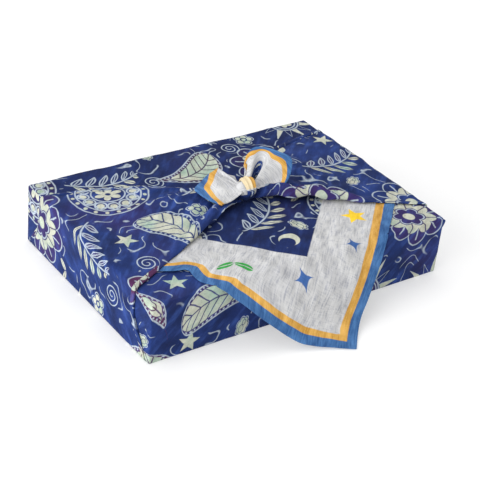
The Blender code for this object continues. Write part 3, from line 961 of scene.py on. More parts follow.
CLOUD_CURLS = [dict(x=0.22, y=0.05, radius=0.34), dict(x=-0.34, y=-0.08, radius=0.24)]
CURL = dict(turns=2.6, line=0.24, soft=0.12, start=0.12, end=0.95)
LEAVES = dict(middle=0.48, half_length=0.46, slant=-0.55, rise=0.26, half_width=0.24, vein=0.7)


def inside(distance, soft):
    """1 where a distance is below zero, with a soft step."""
    return distance.math("MULTIPLY_ADD", -1.0 / soft, 0.5, clamp=True)


def stroke(distance, width, soft):
    """1 on a line where the distance is near zero."""
    return abs(distance).math("MULTIPLY_ADD", -1.0 / soft, 0.5 + 0.5 * width / soft, clamp=True)


def big_area(distance):
    return inside(distance, BIG_SOFT)


def big_line(distance, share=1.0):
    return stroke(distance, BIG_LINE * share, BIG_SOFT)


def small_area(distance):
    return inside(distance, SMALL_SOFT)


def small_line(distance, share=1.0):
    return stroke(distance, SMALL_LINE * share, SMALL_SOFT)


def length(x, y):
    return (y * y).math("ADD", x * x).root()


def polar(x, y):
    return length(x, y), y.math("ARCTAN2", x)


def petal(angle, count, start=0.0):
    """0 in the middle of each of a ring's petals, and 1 half way to the next."""
    wave = angle.math("MULTIPLY_ADD", count / (2 * math.pi), start)
    return wave.math("PINGPONG", 0.5) * 2.0


def arc(fold, radius, count):
    """Length round the ring for a share of half a petal."""
    return fold * radius * (math.pi / count)


def petal_ring(radius, angle, count, tip, notch, start=0.0):
    """A ring of rounded petals: the share of half a petal, and the distance outside it."""
    fold = petal(angle, count, start)
    return fold, radius - (fold * fold).math("MULTIPLY_ADD", notch - tip, tip)


def disc_ring(radius, angle, count, at, size, start=0.0):
    """Distance outside a ring of small discs."""
    return length(radius - at, arc(petal(angle, count, start), radius, count)) - size


def new_motif(name, *outputs):
    return new_group(name, ["X", "Y"], outputs)


def layered_flower():
    """Three rings of petals with veins, round a filled heart."""
    tree, (x, y) = new_motif("layered_flower", "Line", "Fill", "Body")
    radius, angle = polar(x, y)
    rings = [petal_ring(radius, angle, **ring) for ring in FLOWER_RINGS]
    (outer_fold, outer), (middle_fold, middle), (_, inner) = rings
    count = FLOWER_RINGS[0]["count"]
    parting = big_line(arc(1.0 - outer_fold, radius, count))
    vein = big_line(arc(outer_fold, radius, count)) * big_area(radius - FLOWER["veins_end"])
    between = big_area(outer) * big_area(FLOWER["outer_gap"] - middle)
    line = big_line(outer).high(big_line(inner)).high(parting.high(vein) * between)
    rib = big_line(arc(middle_fold, radius, count), FLOWER["rib"])
    fill = big_area(middle) * big_area(FLOWER["inner_gap"] - inner) * (1.0 - rib)
    heart = big_area(radius - FLOWER["heart"])
    put_out(tree, Line=line, Fill=fill.high(heart), Body=big_area(outer))
    return tree


def medallion():
    """Rings of beads and scallops round a six-petalled flower."""
    tree, (x, y) = new_motif("medallion", "Line", "Fill", "Body")
    radius, angle = polar(x, y)
    rim, belt, hub = MEDALLION_RINGS
    rings = big_line(radius - rim).high(big_line(radius - belt)).high(big_line(radius - hub))
    high, low = (disc_ring(radius, angle, **ring) for ring in MEDALLION_SCALLOPS)
    scallops = big_line(high).high(big_line(low))
    scallops = scallops * big_area(radius - MEDALLION["scallops_end"]) * big_area(hub - radius)
    flower = big_area(petal_ring(radius, angle, **MEDALLION_FLOWER)[1])
    flower = flower * big_area(MEDALLION["heart"] - radius)
    scales = big_area(low + MEDALLION["scale_inset"])
    beads = big_area(disc_ring(radius, angle, **MEDALLION_BEADS))
    fill = flower.high(scales).high(beads)
    put_out(tree, Line=rings.high(scallops), Fill=fill, Body=big_area(radius - rim))
    return tree


def leaf_spray():
    """A bent stem with leaves on both sides, filled on one and drawn in line on the other."""
    tree, (x, y) = new_motif("leaf_spray", "Line", "Fill", "Body")
    pitch = SPRAY["pitch"]
    across = (x * x).math("MULTIPLY_ADD", SPRAY["bend"], y) - SPRAY["drop"]
    away = abs(across)
    reach = (1.0 - x * x).high(SPRAY["least"]).root() * SPRAY["width"]
    share = (away / reach).low(1.0)
    offset = ((x - away * SPRAY["lean"]) * (1 / pitch)).math("PINGPONG", 0.5) * pitch
    half = (share * math.pi).math("SINE") * SPRAY["leaf"]
    edge = offset.math("MULTIPLY_ADD", -1.0, pitch / 2) - half
    near = big_area(away - reach) * big_area(SPRAY["stem_gap"] - away)
    near = near * big_area(abs(x) - SPRAY["leaves_end"])
    upper = big_area(-across)
    rib = big_line(offset - pitch / 2, SPRAY_LINES["rib"])
    stem = big_line(across, SPRAY_LINES["stem"]) * big_area(abs(x) - SPRAY["stem_end"])
    leaf_line = big_line(edge).high(rib * big_area(edge))
    line = (leaf_line * near * (1.0 - upper)).high(stem)
    fill = big_area(edge) * near * upper * (1.0 - rib)
    put_out(tree, Line=line, Fill=fill, Body=near * big_area(edge))
    return tree


def plume():
    """A curved drop-shaped leaf with a double outline, veins and dots."""
    tree, (x, y) = new_motif("plume", "Line", "Fill", "Body")
    across = (x * x).math("MULTIPLY_ADD", PLUME["bend"], y) + PLUME["rise"]
    away = abs(across)
    bulge = x.math("MULTIPLY_ADD", PLUME["taper"], PLUME["width"])
    edge = away - (1.0 - x * x).high(0.0).root() * bulge
    outline = big_line(edge) * big_area(abs(x) - 1.0)
    veins = (x * PLUME["vein_count"] + away * PLUME["vein_lean"]).math("PINGPONG", 0.5)
    vein = big_line(veins * PLUME["vein_reach"]).high(big_line(across))
    rim_dots = (x * PLUME["dot_count"]).math("PINGPONG", 0.5) * PLUME["dot_reach"]
    dot = big_area(length(rim_dots, edge + PLUME["dot_inset"]) - PLUME["dot"])
    fill = big_area(edge + PLUME["inset"]) * (1.0 - vein)
    put_out(tree, Line=outline.high(dot), Fill=fill, Body=big_area(edge))
    return tree


def starburst():
    """Pointed rays, by turns filled and in line, round a rosette."""
    tree, (x, y) = new_motif("starburst", "Line", "Fill", "Body")
    radius, angle = polar(x, y)
    start = BURST["start"]
    pairs = petal(angle, BURST["rays"] // 2)
    reach = (1.0 - petal(angle, BURST["rays"])).math("POWER", BURST["sharpness"])
    reach = reach * pairs.math("MULTIPLY_ADD", BURST["uneven"], BURST["reach"])
    edge = (radius - start) - reach
    outline = big_line(edge) * big_area(start + BURST["overlap"] - radius)
    rings = big_line(radius - start).high(big_line(radius - BURST["ring"]))
    rays = big_area(edge + BURST["inset"]) * big_area(start + BURST["gap"] - radius)
    rays = rays * inside(pairs - BURST["filled"], BURST["filled_soft"])
    rosette = big_area(petal_ring(radius, angle, **BURST_ROSETTE)[1])
    rosette = rosette * big_area(BURST["heart"] - radius)
    put_out(tree, Line=outline.high(rings), Fill=rays.high(rosette), Body=big_area(radius - start))
    return tree


def small_star():
    """A plain star of five points."""
    tree, (x, y) = new_motif("small_star", "Line", "Fill")
    radius, angle = polar(x, y)
    turn = petal(angle, STAR["points"]) * (math.pi / STAR["points"])
    forward = turn.math("COSINE") * radius - 1.0
    edge = forward * STAR["forward"] + turn.math("SINE") * radius * STAR["sideways"]
    put_out(tree, Line=0.0, Fill=small_area(edge))
    return tree


def small_blossom():
    """A blossom of five petals with a ring and a heart."""
    tree, (x, y) = new_motif("small_blossom", "Line", "Fill")
    radius, angle = polar(x, y)
    fold, edge = petal_ring(radius, angle, **BLOSSOM_PETALS)
    cut = small_line(arc(1.0 - fold, radius, BLOSSOM_PETALS["count"]), BLOSSOM["cut"])
    fill = small_area(edge + BLOSSOM["inset"]) * small_area(BLOSSOM["gap"] - radius) * (1.0 - cut)
    heart = small_area(radius - BLOSSOM["heart"])
    put_out(tree, Line=small_line(edge), Fill=fill.high(heart))
    return tree


def small_sparkle():
    """A sparkle of four thin points."""
    tree, (x, y) = new_motif("small_sparkle", "Line", "Fill")
    edge = abs(x).root() + abs(y).root() - 1.0
    put_out(tree, Line=0.0, Fill=inside(edge, SPARKLE_SOFT))
    return tree


def small_crescent():
    """A crescent moon."""
    tree, (x, y) = new_motif("small_crescent", "Line", "Fill")
    disc = length(x, y) - CRESCENT["disc"]
    bite = length(x - CRESCENT["bite_x"], y - CRESCENT["bite_y"]) - CRESCENT["bite"]
    put_out(tree, Line=0.0, Fill=small_area(disc) * small_area(-bite))
    return tree


def small_cloud():
    """A flat scalloped cloud with two curls inside."""
    tree, (x, y) = new_motif("small_cloud", "Line", "Fill")
    tall = y * CLOUD["flatness"]
    edge = petal_ring(*polar(x, tall), **CLOUD_LOBES)[1]
    first, second = (
        small_line(length(x - curl["x"], tall - curl["y"]) - curl["radius"], CLOUD["line"])
        for curl in CLOUD_CURLS
    )
    fill = small_area(edge + CLOUD["inset"]) * (1.0 - first.high(second))
    put_out(tree, Line=small_line(edge), Fill=fill)
    return tree


def small_curl():
    """A thin spiral."""
    tree, (x, y) = new_motif("small_curl", "Line", "Fill")
    radius, angle = polar(x, y)
    wave = (radius * CURL["turns"] - angle * (0.5 / math.pi)).math("PINGPONG", 0.5)
    line = stroke(wave, CURL["line"], CURL["soft"]) * small_area(radius - CURL["end"])
    put_out(tree, Line=line * small_area(CURL["start"] - radius), Fill=0.0)
    return tree


def small_leaves():
    """A pair of leaves."""
    tree, (x, y) = new_motif("small_leaves", "Line", "Fill")
    along = (abs(x) - LEAVES["middle"]) * (1 / LEAVES["half_length"])
    across = abs(x).math("MULTIPLY_ADD", LEAVES["slant"], y) + LEAVES["rise"]
    edge = abs(across) - (1.0 - along * along).high(0.0).root() * LEAVES["half_width"]
    vein = small_line(across, LEAVES["vein"])
    fill = small_area(edge) * (1.0 - vein) * small_area(abs(along) - 1.0)
    put_out(tree, Line=0.0, Fill=fill)
    return tree


# The cells that hold one motif each, and the motifs' radii in metres
BIG_CELLS = dict(size=0.084, turn=math.radians(14), seed=41.0, jitter=0.08)
SMALL_CELLS = dict(size=0.030, turn=math.radians(-28), seed=7.0, jitter=0.20)
BIG_RADIUS = 0.0385
SMALL_RADIUS = 0.0112
TINT_SHUFFLE = 17.3


def motif_cells(name, size, turn, seed, jitter):
    """Brick-like cells turned on the cloth, each with its own place and turn for a motif."""
    labels = ["X", "Y", "Choice", "Tint", "Centre X", "Centre Y"]
    tree, (x, y) = new_group(name, ["Across", "Along"], labels)
    cos, sin = math.cos(turn) / size, math.sin(turn) / size
    u = y.math("MULTIPLY_ADD", sin, x * cos)
    v = y.math("MULTIPLY_ADD", cos, x * -sin)
    row = v.math("FLOOR")
    brick = row.math("PINGPONG", 1.0)
    u = brick.math("MULTIPLY_ADD", 0.5, u)
    column = u.math("FLOOR")
    place_node = tree.nodes.new("ShaderNodeCombineXYZ")
    for item, slot in zip((column, row, seed), place_node.inputs):
        feed(item, slot)
    chance = tree.nodes.new("ShaderNodeTexWhiteNoise")
    chance.noise_dimensions = "3D"
    tree.links.new(place_node.outputs[0], chance.inputs["Vector"])
    parts = tree.nodes.new("ShaderNodeSeparateColor")
    tree.links.new(chance.outputs["Color"], parts.inputs[0])
    first, second, third = (Value(tree, socket) for socket in parts.outputs)
    centre_u = column + first.math("MULTIPLY_ADD", jitter, 0.5 - jitter / 2)
    centre_v = row + second.math("MULTIPLY_ADD", jitter, 0.5 - jitter / 2)
    away_u = (u - centre_u) * size
    away_v = (v - centre_v) * size
    angle = third * (2 * math.pi)
    cosine, sine = angle.math("COSINE"), angle.math("SINE")
    back_u = brick.math("MULTIPLY_ADD", -0.5, centre_u) * (size * size)
    back_v = centre_v * (size * size)
    choice = Value(tree, chance.outputs["Value"])
    put_out(
        tree,
        X=away_u * cosine + away_v * sine,
        Y=away_v * cosine - away_u * sine,
        Choice=choice,
        Tint=(choice * TINT_SHUFFLE).math("FRACT"),
        Centre_X=back_u * cos - back_v * sin,
        Centre_Y=back_u * sin + back_v * cos,
    )
    return tree


def chosen(choice, index, count):
    """1 where a random number picks the given motif out of so many."""
    return (choice * float(count)).math("COMPARE", index + 0.5, 0.5)


def paint(red, green, blue):
    """A linear colour from the 0 to 255 values of a screen colour."""
    linear = []
    for part in (red, green, blue):
        share = part / 255
        linear.append(share / 12.92 if share <= 0.04045 else ((share + 0.055) / 1.055) ** 2.4)
    return (*linear, 1.0)


# The colours of the print
NAVY = paint(33, 55, 117)
DEEP_NAVY = paint(20, 37, 84)
# Painted shade: a darker navy laid over the back layer
PAINTED_SHADE_NAVY = paint(8, 20, 62)
VIOLET = paint(64, 40, 94)
MAROON = paint(92, 38, 66)
BRUSHED_BLUE = paint(54, 80, 148)
CREAM = paint(190, 192, 176)
PALE_GREEN = paint(160, 182, 166)
LINE_WHITE = paint(178, 190, 200)
GREY_WHITE = paint(197, 197, 197)
GREY_SLUB = paint(170, 172, 180)
GREY_WASH = paint(176, 177, 184)
ORANGE = paint(214, 168, 90)
DEEP_ORANGE = paint(198, 146, 62)
BLUE = paint(74, 116, 166)
DEEP_BLUE = paint(50, 90, 144)
SAND = paint(216, 198, 160)
LEAF_GREEN = paint(24, 150, 50)
YELLOW = paint(244, 202, 20)
SPARKLE_BLUE = paint(46, 92, 158)

# How far in from the hem each band reaches; the orange one is wider on the right
BLUE_BAND = 0.0090
ORANGE_BAND = 0.015
GREY_BAND = 0.066
RIGHT_ORANGE_EXTRA = 0.0018
RIGHT_SIDE = (-0.003, 0.003)
BAND_SOFT = 0.0005

# Small motifs stand where they keep clear of the large ones, and thin broken lines run between
SLIM_MOTIFS = (1, 3)
SLIM_NARROWING = 0.45
SMALL_OVERLAP = 0.55
FREE_SOFT = 0.0005
RIBBONS = dict(count=3.4, middle=0.25, width=0.040, soft=0.04, broken=(0.42, 0.46),
               clear=1.04, clear_soft=0.02, small_clear=1.2)

# Noise over the flat cloth: its scales along two ways, and detail
NOISES = dict(
    hand=(110.0, 110.0, 2.0),
    thread=(850.0, 95.0, 2.0),
    weft=(170.0, 900.0, 2.0),
    wide=(9.0, 9.0, 2.0),
    speck=(420.0, 420.0, 4.0),
    cloudy=(34.0, 34.0, 3.0),
    wash=(150.0, 42.0, 4.0),
    crinkle=(150.0, 150.0, 3.0),
    ribbons=(30.0, 30.0, 1.0),
    breaks=(26.0, 26.0, 1.0),
)

# Dyes and inks, and the painted shade of the back layer: where their noise or place sets in and is
# full, and the most that they cover
DYES_AND_PAINTED_SHADE = dict(
    navy=dict(start=0.35, full=0.65, paint=NAVY),
    violet_clouds=dict(start=0.52, full=0.68, cover=0.36, paint=VIOLET),
    violet_motifs=dict(start=0.55, full=0.57, cover=0.55, paint=VIOLET),
    maroon_motifs=dict(start=0.78, full=0.80, cover=0.60, paint=MAROON),
    brushed=dict(start=0.50, full=0.72, cover=0.55, paint=BRUSHED_BLUE),
    # back: painted shade, the navy darker far along the flat cloth, over the back face, back flap and
    # hanging corner
    back=dict(start=0.10, full=0.18, cover=0.50, paint=PAINTED_SHADE_NAVY),
    pale_green=dict(start=0.58, full=0.80, paint=PALE_GREEN),
    slub=dict(start=0.36, full=0.50, paint=GREY_WHITE),
    grey_wash=dict(start=0.45, full=0.75, cover=0.35, paint=GREY_WASH),
    orange=dict(start=0.38, full=0.60, paint=ORANGE),
    blue=dict(start=0.38, full=0.60, paint=BLUE),
)

# How far a motif's own tint makes it greener, and how well the inks cover
PALE_BY_TINT = 0.2
INK_SPECKS = dict(start=0.30, full=0.42, gain=0.35, least=0.65)
LINE_COVER = 0.92
ACCENT_COVER = 0.95

# The hand-drawn unevenness of the print, in metres
DRAWN_ACROSS = 0.0022
DRAWN_ALONG = -0.0019
DRAWN_BANDS = 0.0008

# Shares of the noises in the slubs, the mottled bands, the shade and the relief
SLUB_MIX = (0.72, 0.28)
MOTTLE_MIX = (0.6, 0.4)
SHADE_MIX = (0.4, 0.3, 0.9)
SHADE = dict(gain=0.86, least=0.20)
RELIEF_MIX = (0.35, 0.35, 1.6)
ROUGHNESS = dict(plain=0.80, printed=-0.06, cloudy=0.12)
RELIEF = dict(Strength=0.5, Distance=0.0004)
FINISH = {"Specular IOR Level": 0.12, "Sheen Weight": 0.02, "Sheen Roughness": 0.5}

# Accents on the grey-white band: places on the flat cloth, turn and radius
ACCENTS = [
    dict(motif="small_leaves", across=-0.062, along=0.371, turn=0.5, radius=0.017, paint=LEAF_GREEN),
    dict(motif="small_star", across=0.083, along=0.350, turn=1.2, radius=0.013, paint=YELLOW),
    dict(motif="small_sparkle", across=-0.012, along=0.402, turn=0.1, radius=0.011, paint=SPARKLE_BLUE),
    dict(motif="small_sparkle", across=0.052, along=0.388, turn=0.2, radius=0.010, paint=SPARKLE_BLUE),
    dict(motif="small_star", across=0.353, along=BAND_ALONG, turn=0.0, radius=0.034, paint=SAND),
]


def blend_colours(tree, share, low, high):
    """Mixes two colours, each a plain one or a value, by a share."""
    node = tree.nodes.new("ShaderNodeMix")
    node.data_type = "RGBA"
    for item, label in ((share, "Factor_Float"), (low, "A_Color"), (high, "B_Color")):
        feed(item, next(slot for slot in node.inputs if slot.identifier == label))
    return Value(tree, next(slot for slot in node.outputs if slot.identifier == "Result_Color"))


def noise(tree, kind, x, y):
    """Smooth noise over the flat cloth, stretched by its two scales."""
    scale_x, scale_y, detail = NOISES[kind]
    spot = tree.nodes.new("ShaderNodeCombineXYZ")
    feed(x * scale_x, spot.inputs["X"])
    feed(y * scale_y, spot.inputs["Y"])
    cloud = tree.nodes.new("ShaderNodeTexNoise")
    cloud.inputs["Scale"].default_value = 1.0
    cloud.inputs["Detail"].default_value = detail
    tree.links.new(spot.outputs[0], cloud.inputs["Vector"])
    return Value(tree, cloud.outputs[0])


def step_up(value, start, end):
    """0 below the start and 1 above the end."""
    return value.math("MULTIPLY_ADD", 1 / (end - start), -start / (end - start), clamp=True)


def dye_and_painted_shade(tree, kind, by, base, mask=None):
    """Lays a dye, or the back layer's painted shade, over a base where a value is high, and within the
    mask.
    """
    sizes = DYES_AND_PAINTED_SHADE[kind]
    share = step_up(by, sizes["start"], sizes["full"])
    if mask is not None:
        share = share * mask
    if "cover" in sizes:
        share = share * sizes["cover"]
    return blend_colours(tree, share, base, sizes["paint"])


def blend_parts(weights, parts):
    """The sum of the parts by their weights."""
    total = None
    for weight, part in zip(weights, parts):
        total = part * weight if total is None else total + part * weight
    return total


def slim(choice, count):
    """1 where a large motif is a slim one."""
    first, second = (chosen(choice, index, count) for index in SLIM_MOTIFS)
    return first + second


def scattered_motifs():
    """The navy field's print: large motifs in brick-like cells and small ones between."""
    labels = ["Line", "Fill", "Body", "Tint"]
    tree, (across, along) = new_group("scattered_motifs", ["Across", "Along"], labels)
    big_cells = motif_cells("big_cells", **BIG_CELLS)
    small_cells = motif_cells("small_cells", **SMALL_CELLS)
    big_makers = (layered_flower, leaf_spray, medallion, plume, starburst)
    small_makers = (
        small_star, small_blossom, small_cloud, small_leaves,
        small_crescent, small_sparkle, small_curl,
    )

    # Large motifs
    big_x, big_y, big_choice, tint, _, _ = use(tree, big_cells, across, along)
    big_x, big_y = big_x / BIG_RADIUS, big_y / BIG_RADIUS
    count = len(big_makers)
    masks = [chosen(big_choice, index, count) for index in range(count)]
    motifs = [use(tree, maker(), big_x, big_y) for maker in big_makers]
    line, fill, body = (blend_parts(masks, parts) for parts in zip(*motifs))

    # Where a small cell's middle is clear of them
    x, y, choice, _, centre_x, centre_y = use(tree, small_cells, across, along)
    x, y = x / SMALL_RADIUS, y / SMALL_RADIUS
    away_x, away_y, near_choice, _, _, _ = use(tree, big_cells, centre_x, centre_y)
    away = length(away_x, away_y * (slim(near_choice, count) * SLIM_NARROWING + 1.0))
    free = inside(BIG_RADIUS + SMALL_RADIUS * SMALL_OVERLAP - away, FREE_SOFT)

    # Thin broken lines between them all
    out = length(big_x, big_y * (slim(big_choice, count) * SLIM_NARROWING + 1.0))
    clear = inside(RIBBONS["clear"] - out, RIBBONS["clear_soft"])
    clear = clear * (1.0 - free * small_area(length(x, y) - RIBBONS["small_clear"]))
    flow = noise(tree, "ribbons", across, along)
    broken = step_up(noise(tree, "breaks", along, across), *RIBBONS["broken"])
    ribbon = (flow * RIBBONS["count"]).math("PINGPONG", 0.5) - RIBBONS["middle"]
    line = line.high(stroke(ribbon, RIBBONS["width"], RIBBONS["soft"]) * clear * broken)

    # Small motifs
    for index, maker in enumerate(small_makers):
        mask = chosen(choice, index, len(small_makers)) * free
        parts = [part * mask for part in use(tree, maker(), x, y)]
        line, fill = line.high(parts[0]), fill.high(parts[1])
    put_out(tree, Line=line, Fill=fill, Body=body, Tint=tint)
    return tree


def cloth_print():
    """The whole print over the flat cloth: navy field, bands along the hem and accents."""
    labels = ["Print Colour", "Height", "Roughness"]
    tree, (across, along) = new_group("cloth_print", ["Across", "Along"], labels)
    hand = noise(tree, "hand", across, along)
    drawn_across = hand.math("MULTIPLY_ADD", DRAWN_ACROSS, across)
    drawn_along = hand.math("MULTIPLY_ADD", DRAWN_ALONG, along)
    line, fill, body, tint = use(tree, scattered_motifs(), drawn_across, drawn_along)
    half_root = math.sqrt(0.5)
    hem = (abs(across) + abs(along)).math("MULTIPLY_ADD", -half_root, HALF_DIAGONAL * half_root)
    hem = hem + (hand - 0.5) * DRAWN_BANDS
    ways = (across + along) * half_root, (across - along) * half_root
    thread, weft, wash = (noise(tree, kind, *ways) for kind in ("thread", "weft", "wash"))
    wide, speck, cloudy, crinkle = (
        noise(tree, kind, across, along) for kind in ("wide", "speck", "cloudy", "crinkle")
    )

    # The navy field and its motifs
    field = dye_and_painted_shade(tree, "navy", cloudy, DEEP_NAVY)
    field = dye_and_painted_shade(tree, "violet_clouds", wide, field)
    field = dye_and_painted_shade(tree, "violet_motifs", tint, field, body)
    field = dye_and_painted_shade(tree, "maroon_motifs", tint, field, body)
    field = dye_and_painted_shade(tree, "brushed", wash, field)
    # Painted shade: the navy darker on the back layer, far along the flat cloth
    field = dye_and_painted_shade(tree, "back", along, field)
    ink = step_up(speck, INK_SPECKS["start"], INK_SPECKS["full"])
    ink = ink * INK_SPECKS["gain"] + INK_SPECKS["least"]
    pale = dye_and_painted_shade(tree, "pale_green", cloudy + tint * PALE_BY_TINT, CREAM)
    field = blend_colours(tree, fill * ink, field, pale)
    field = blend_colours(tree, line * LINE_COVER, field, LINE_WHITE)

    # The grey-white band and its accents
    grey = dye_and_painted_shade(tree, "slub", blend_parts(SLUB_MIX, (thread, weft)), GREY_SLUB)
    grey = dye_and_painted_shade(tree, "grey_wash", cloudy, grey)
    for accent in ACCENTS:
        cosine = math.cos(accent["turn"]) / accent["radius"]
        sine = math.sin(accent["turn"]) / accent["radius"]
        away_x, away_y = drawn_across - accent["across"], drawn_along - accent["along"]
        x = away_x * cosine + away_y * sine
        y = away_y * cosine - away_x * sine
        shape = use(tree, bpy.data.node_groups[accent["motif"]], x, y)[1]
        grey = blend_colours(tree, shape * ACCENT_COVER, grey, accent["paint"])

    # The bands along the hem, from the inside out
    field_starts = step_up(hem, GREY_BAND - BAND_SOFT, GREY_BAND + BAND_SOFT)
    colour = blend_colours(tree, field_starts, grey, field)
    right_side = step_up(across, *RIGHT_SIDE) * RIGHT_ORANGE_EXTRA
    mottled = blend_parts(MOTTLE_MIX, (wash, thread))
    orange = inside(hem - right_side - ORANGE_BAND, BAND_SOFT)
    colour = blend_colours(tree, orange, colour, dye_and_painted_shade(tree, "orange", mottled, DEEP_ORANGE))
    blue = inside(hem - BLUE_BAND, BAND_SOFT)
    colour = blend_colours(tree, blue, colour, dye_and_painted_shade(tree, "blue", mottled, DEEP_BLUE))
    shade = blend_parts(SHADE_MIX, (thread, weft, wash))
    dyed = tree.nodes.new("ShaderNodeHueSaturation")
    feed(shade.math("MULTIPLY_ADD", SHADE["gain"], SHADE["least"]), dyed.inputs["Value"])
    feed(colour, dyed.inputs["Color"])
    roughness = (fill + line).math("MULTIPLY_ADD", ROUGHNESS["printed"], ROUGHNESS["plain"])
    put_out(
        tree,
        Print_Colour=Value(tree, dyed.outputs["Color"]),
        Height=blend_parts(RELIEF_MIX, (thread, weft, crinkle)),
        Roughness=roughness + (cloudy - 0.5) * ROUGHNESS["cloudy"],
    )
    return tree


def printed_cloth():
    material = bpy.data.materials.new("printed_cloth")
    material.use_nodes = True
    tree = material.node_tree
    shader = tree.nodes["Principled BSDF"]
    flat = tree.nodes.new("ShaderNodeUVMap")
    flat.uv_map = "flat_cloth"
    split = tree.nodes.new("ShaderNodeSeparateXYZ")
    tree.links.new(flat.outputs["UV"], split.inputs[0])
    across, along = (Value(tree, socket) for socket in split.outputs[:2])
    colour, height, roughness = use(tree, cloth_print(), across, along)
    feed(colour, shader.inputs["Base Color"])
    feed(roughness, shader.inputs["Roughness"])
    bump = tree.nodes.new("ShaderNodeBump")
    for label, value in RELIEF.items():
        bump.inputs[label].default_value = value
    feed(height, bump.inputs["Height"])
    feed(Value(tree, bump.outputs["Normal"]), shader.inputs["Normal"])
    for label, value in FINISH.items():
        shader.inputs[label].default_value = value
    return material


def cloth_puckers():
    """Node tree that moves a cloth in and out by soft noise, as far as its slack allows."""
    tree = bpy.data.node_groups.new("cloth_puckers", "GeometryNodeTree")
    tree.interface.new_socket("Cloth", in_out="INPUT", socket_type="NodeSocketGeometry")
    for label in ("Wide Height", "Wide Scale", "Fine Height", "Fine Scale"):
        tree.interface.new_socket(label, in_out="INPUT", socket_type="NodeSocketFloat")
    tree.interface.new_socket("Print", in_out="INPUT", socket_type="NodeSocketMaterial")
    tree.interface.new_socket("Cloth", in_out="OUTPUT", socket_type="NodeSocketGeometry")
    source = tree.nodes.new("NodeGroupInput")
    slack = tree.nodes.new("GeometryNodeInputNamedAttribute")
    slack.data_type = "FLOAT"
    slack.inputs["Name"].default_value = "slack"
    total = None
    for size in ("Wide", "Fine"):
        cloud = tree.nodes.new("ShaderNodeTexNoise")
        cloud.inputs["Detail"].default_value = 1.0
        tree.links.new(source.outputs[f"{size} Scale"], cloud.inputs["Scale"])
        wave = Value(tree, cloud.outputs[0]) - 0.5
        wave = wave * Value(tree, source.outputs[f"{size} Height"])
        total = wave if total is None else total + wave
    total = total * Value(tree, slack.outputs["Attribute"])
    push = tree.nodes.new("ShaderNodeVectorMath")
    push.operation = "SCALE"
    tree.links.new(tree.nodes.new("GeometryNodeInputNormal").outputs[0], push.inputs[0])
    feed(total, push.inputs["Scale"])
    move = tree.nodes.new("GeometryNodeSetPosition")
    tree.links.new(source.outputs["Cloth"], move.inputs["Geometry"])
    tree.links.new(push.outputs["Vector"], move.inputs["Offset"])
    plain = tree.nodes.new("GeometryNodeRealizeInstances")
    tree.links.new(move.outputs["Geometry"], plain.inputs["Geometry"])
    dyed = tree.nodes.new("GeometryNodeSetMaterial")
    tree.links.new(plain.outputs["Geometry"], dyed.inputs["Geometry"])
    tree.links.new(source.outputs["Print"], dyed.inputs["Material"])
    end = tree.nodes.new("NodeGroupOutput")
    tree.links.new(dyed.outputs["Geometry"], end.inputs["Cloth"])
    return tree


def finish_with(piece, tree, **values):
    """Runs a node tree on a piece with the given inputs and keeps the result as its mesh."""
    change = piece.modifiers.new(tree.name, "NODES")
    change.node_group = tree
    sockets = {
        item.name.replace(" ", "_"): item.identifier
        for item in tree.interface.items_tree
        if item.item_type == "SOCKET" and item.in_out == "INPUT"
    }
    for label, value in values.items():
        change[sockets[label]] = value
    depsgraph = bpy.context.evaluated_depsgraph_get()
    mesh = bpy.data.meshes.new_from_object(piece.evaluated_get(depsgraph))
    piece.modifiers.remove(change)
    piece.data = mesh


def wrapped_cloth():
    panels = front_layer() + back_layer()
    panels += side_strip(LEFT_ROWS, -1) + side_strip(RIGHT_ROWS, 1)
    panels += knot_core() + knot_band()
    panels += tail(-1, LEFT_TAIL, LEFT_TAIL_ROOT, LEFT_TAIL_LENGTH, LEFT_TAIL_DENT)
    panels += tail(1, RIGHT_TAIL, RIGHT_TAIL_ROOT, RIGHT_TAIL_LENGTH, RIGHT_TAIL_DENT)
    panels += pinched_corner()
    piece = bpy.data.objects.new("wrapped_cloth", cloth_mesh(panels))
    bpy.context.scene.collection.objects.link(piece)
    finish_with(piece, cloth_puckers(), **PUCKERS, Print=printed_cloth())
    wall = piece.modifiers.new("cloth_thickness", "SOLIDIFY")
    wall.thickness = THICKNESS
    wall.offset = -1.0
    return piece


# The photograph's camera, round the middle of the box
CAMERA_AZIMUTH = math.radians(-37.31)
CAMERA_ELEVATION = math.radians(30.88)
CAMERA_ROLL = math.radians(5.84)
CAMERA_DISTANCE = 1.257
SENSOR = 36.0
IMAGE_SIZE = 480
FOCAL_PIXELS = 1343.9
SHIFT_X = 0.0105
SHIFT_Y = -0.0240


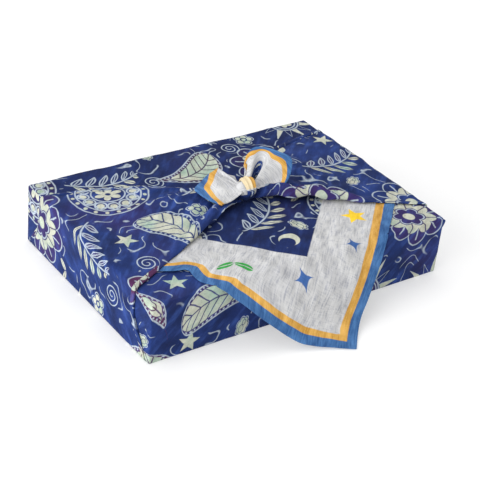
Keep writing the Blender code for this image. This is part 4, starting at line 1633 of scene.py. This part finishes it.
def camera():
    data = bpy.data.cameras.new("camera")
    data.sensor_width = SENSOR
    data.lens = FOCAL_PIXELS / IMAGE_SIZE * SENSOR
    data.shift_x = SHIFT_X
    data.shift_y = SHIFT_Y
    item = bpy.data.objects.new("camera", data)
    bpy.context.scene.collection.objects.link(item)
    back = Vector((
        math.sin(CAMERA_AZIMUTH) * math.cos(CAMERA_ELEVATION),
        -math.cos(CAMERA_AZIMUTH) * math.cos(CAMERA_ELEVATION),
        math.sin(CAMERA_ELEVATION),
    ))
    right = (-back).cross(Vector((0.0, 0.0, 1.0))).normalized()
    up = right.cross(-back)
    turned_right = right * math.cos(CAMERA_ROLL) + up * math.sin(CAMERA_ROLL)
    turned_up = up * math.cos(CAMERA_ROLL) - right * math.sin(CAMERA_ROLL)
    matrix = Matrix((turned_right, turned_up, back)).transposed().to_4x4()
    matrix.translation = Vector((0.0, 0.0, HEIGHT / 2)) + back * CAMERA_DISTANCE
    item.matrix_world = matrix
    bpy.context.scene.camera = item


# The studio: white surroundings, two soft lights and a floor of white paper
WHITE = (1.0, 1.0, 1.0, 1.0)
SURROUNDINGS = 0.83
LIGHT_TARGET = (0.0, 0.0, 0.03)
LIGHTS = [
    dict(name="key_light", at=(-1.9, -0.25, 0.48), size=2.4, power=60.0),
    dict(name="top_light", at=(0.2, 0.4, 1.6), size=1.4, power=6.0),
]
FLOOR_HALF = 4.0
PAPER = {
    "Base Color": (0.55, 0.55, 0.55, 1.0),
    "Roughness": 0.9,
    "Emission Color": WHITE,
    "Emission Strength": 0.39,
}


def area_light(name, at, size, power):
    data = bpy.data.lights.new(name, "AREA")
    data.shape = "DISK"
    data.size = size
    data.energy = power
    item = bpy.data.objects.new(name, data)
    bpy.context.scene.collection.objects.link(item)
    item.location = at
    way = Vector(LIGHT_TARGET) - Vector(at)
    item.rotation_euler = way.to_track_quat("-Z", "Y").to_euler()


def studio():
    scene = bpy.context.scene
    scene.view_settings.view_transform = "Standard"
    world = bpy.data.worlds.new("studio")
    world.use_nodes = True
    background = world.node_tree.nodes["Background"]
    background.inputs["Color"].default_value = WHITE
    background.inputs["Strength"].default_value = SURROUNDINGS
    scene.world = world
    for light in LIGHTS:
        area_light(**light)
    mesh = bpy.data.meshes.new("floor")
    signs = ((-1, -1), (1, -1), (1, 1), (-1, 1))
    corners = [(FLOOR_HALF * x, FLOOR_HALF * y, 0.0) for x, y in signs]
    mesh.from_pydata(corners, [], [(0, 1, 2, 3)])
    floor = bpy.data.objects.new("floor", mesh)
    scene.collection.objects.link(floor)
    paper = bpy.data.materials.new("white_paper")
    paper.use_nodes = True
    shader = paper.node_tree.nodes["Principled BSDF"]
    for label, value in PAPER.items():
        shader.inputs[label].default_value = value
    mesh.materials.append(paper)


def main():
    camera()
    cloth = wrapped_cloth()
    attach(cloth, "root")
    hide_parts("furoshiki_cloth")
    studio()


main()
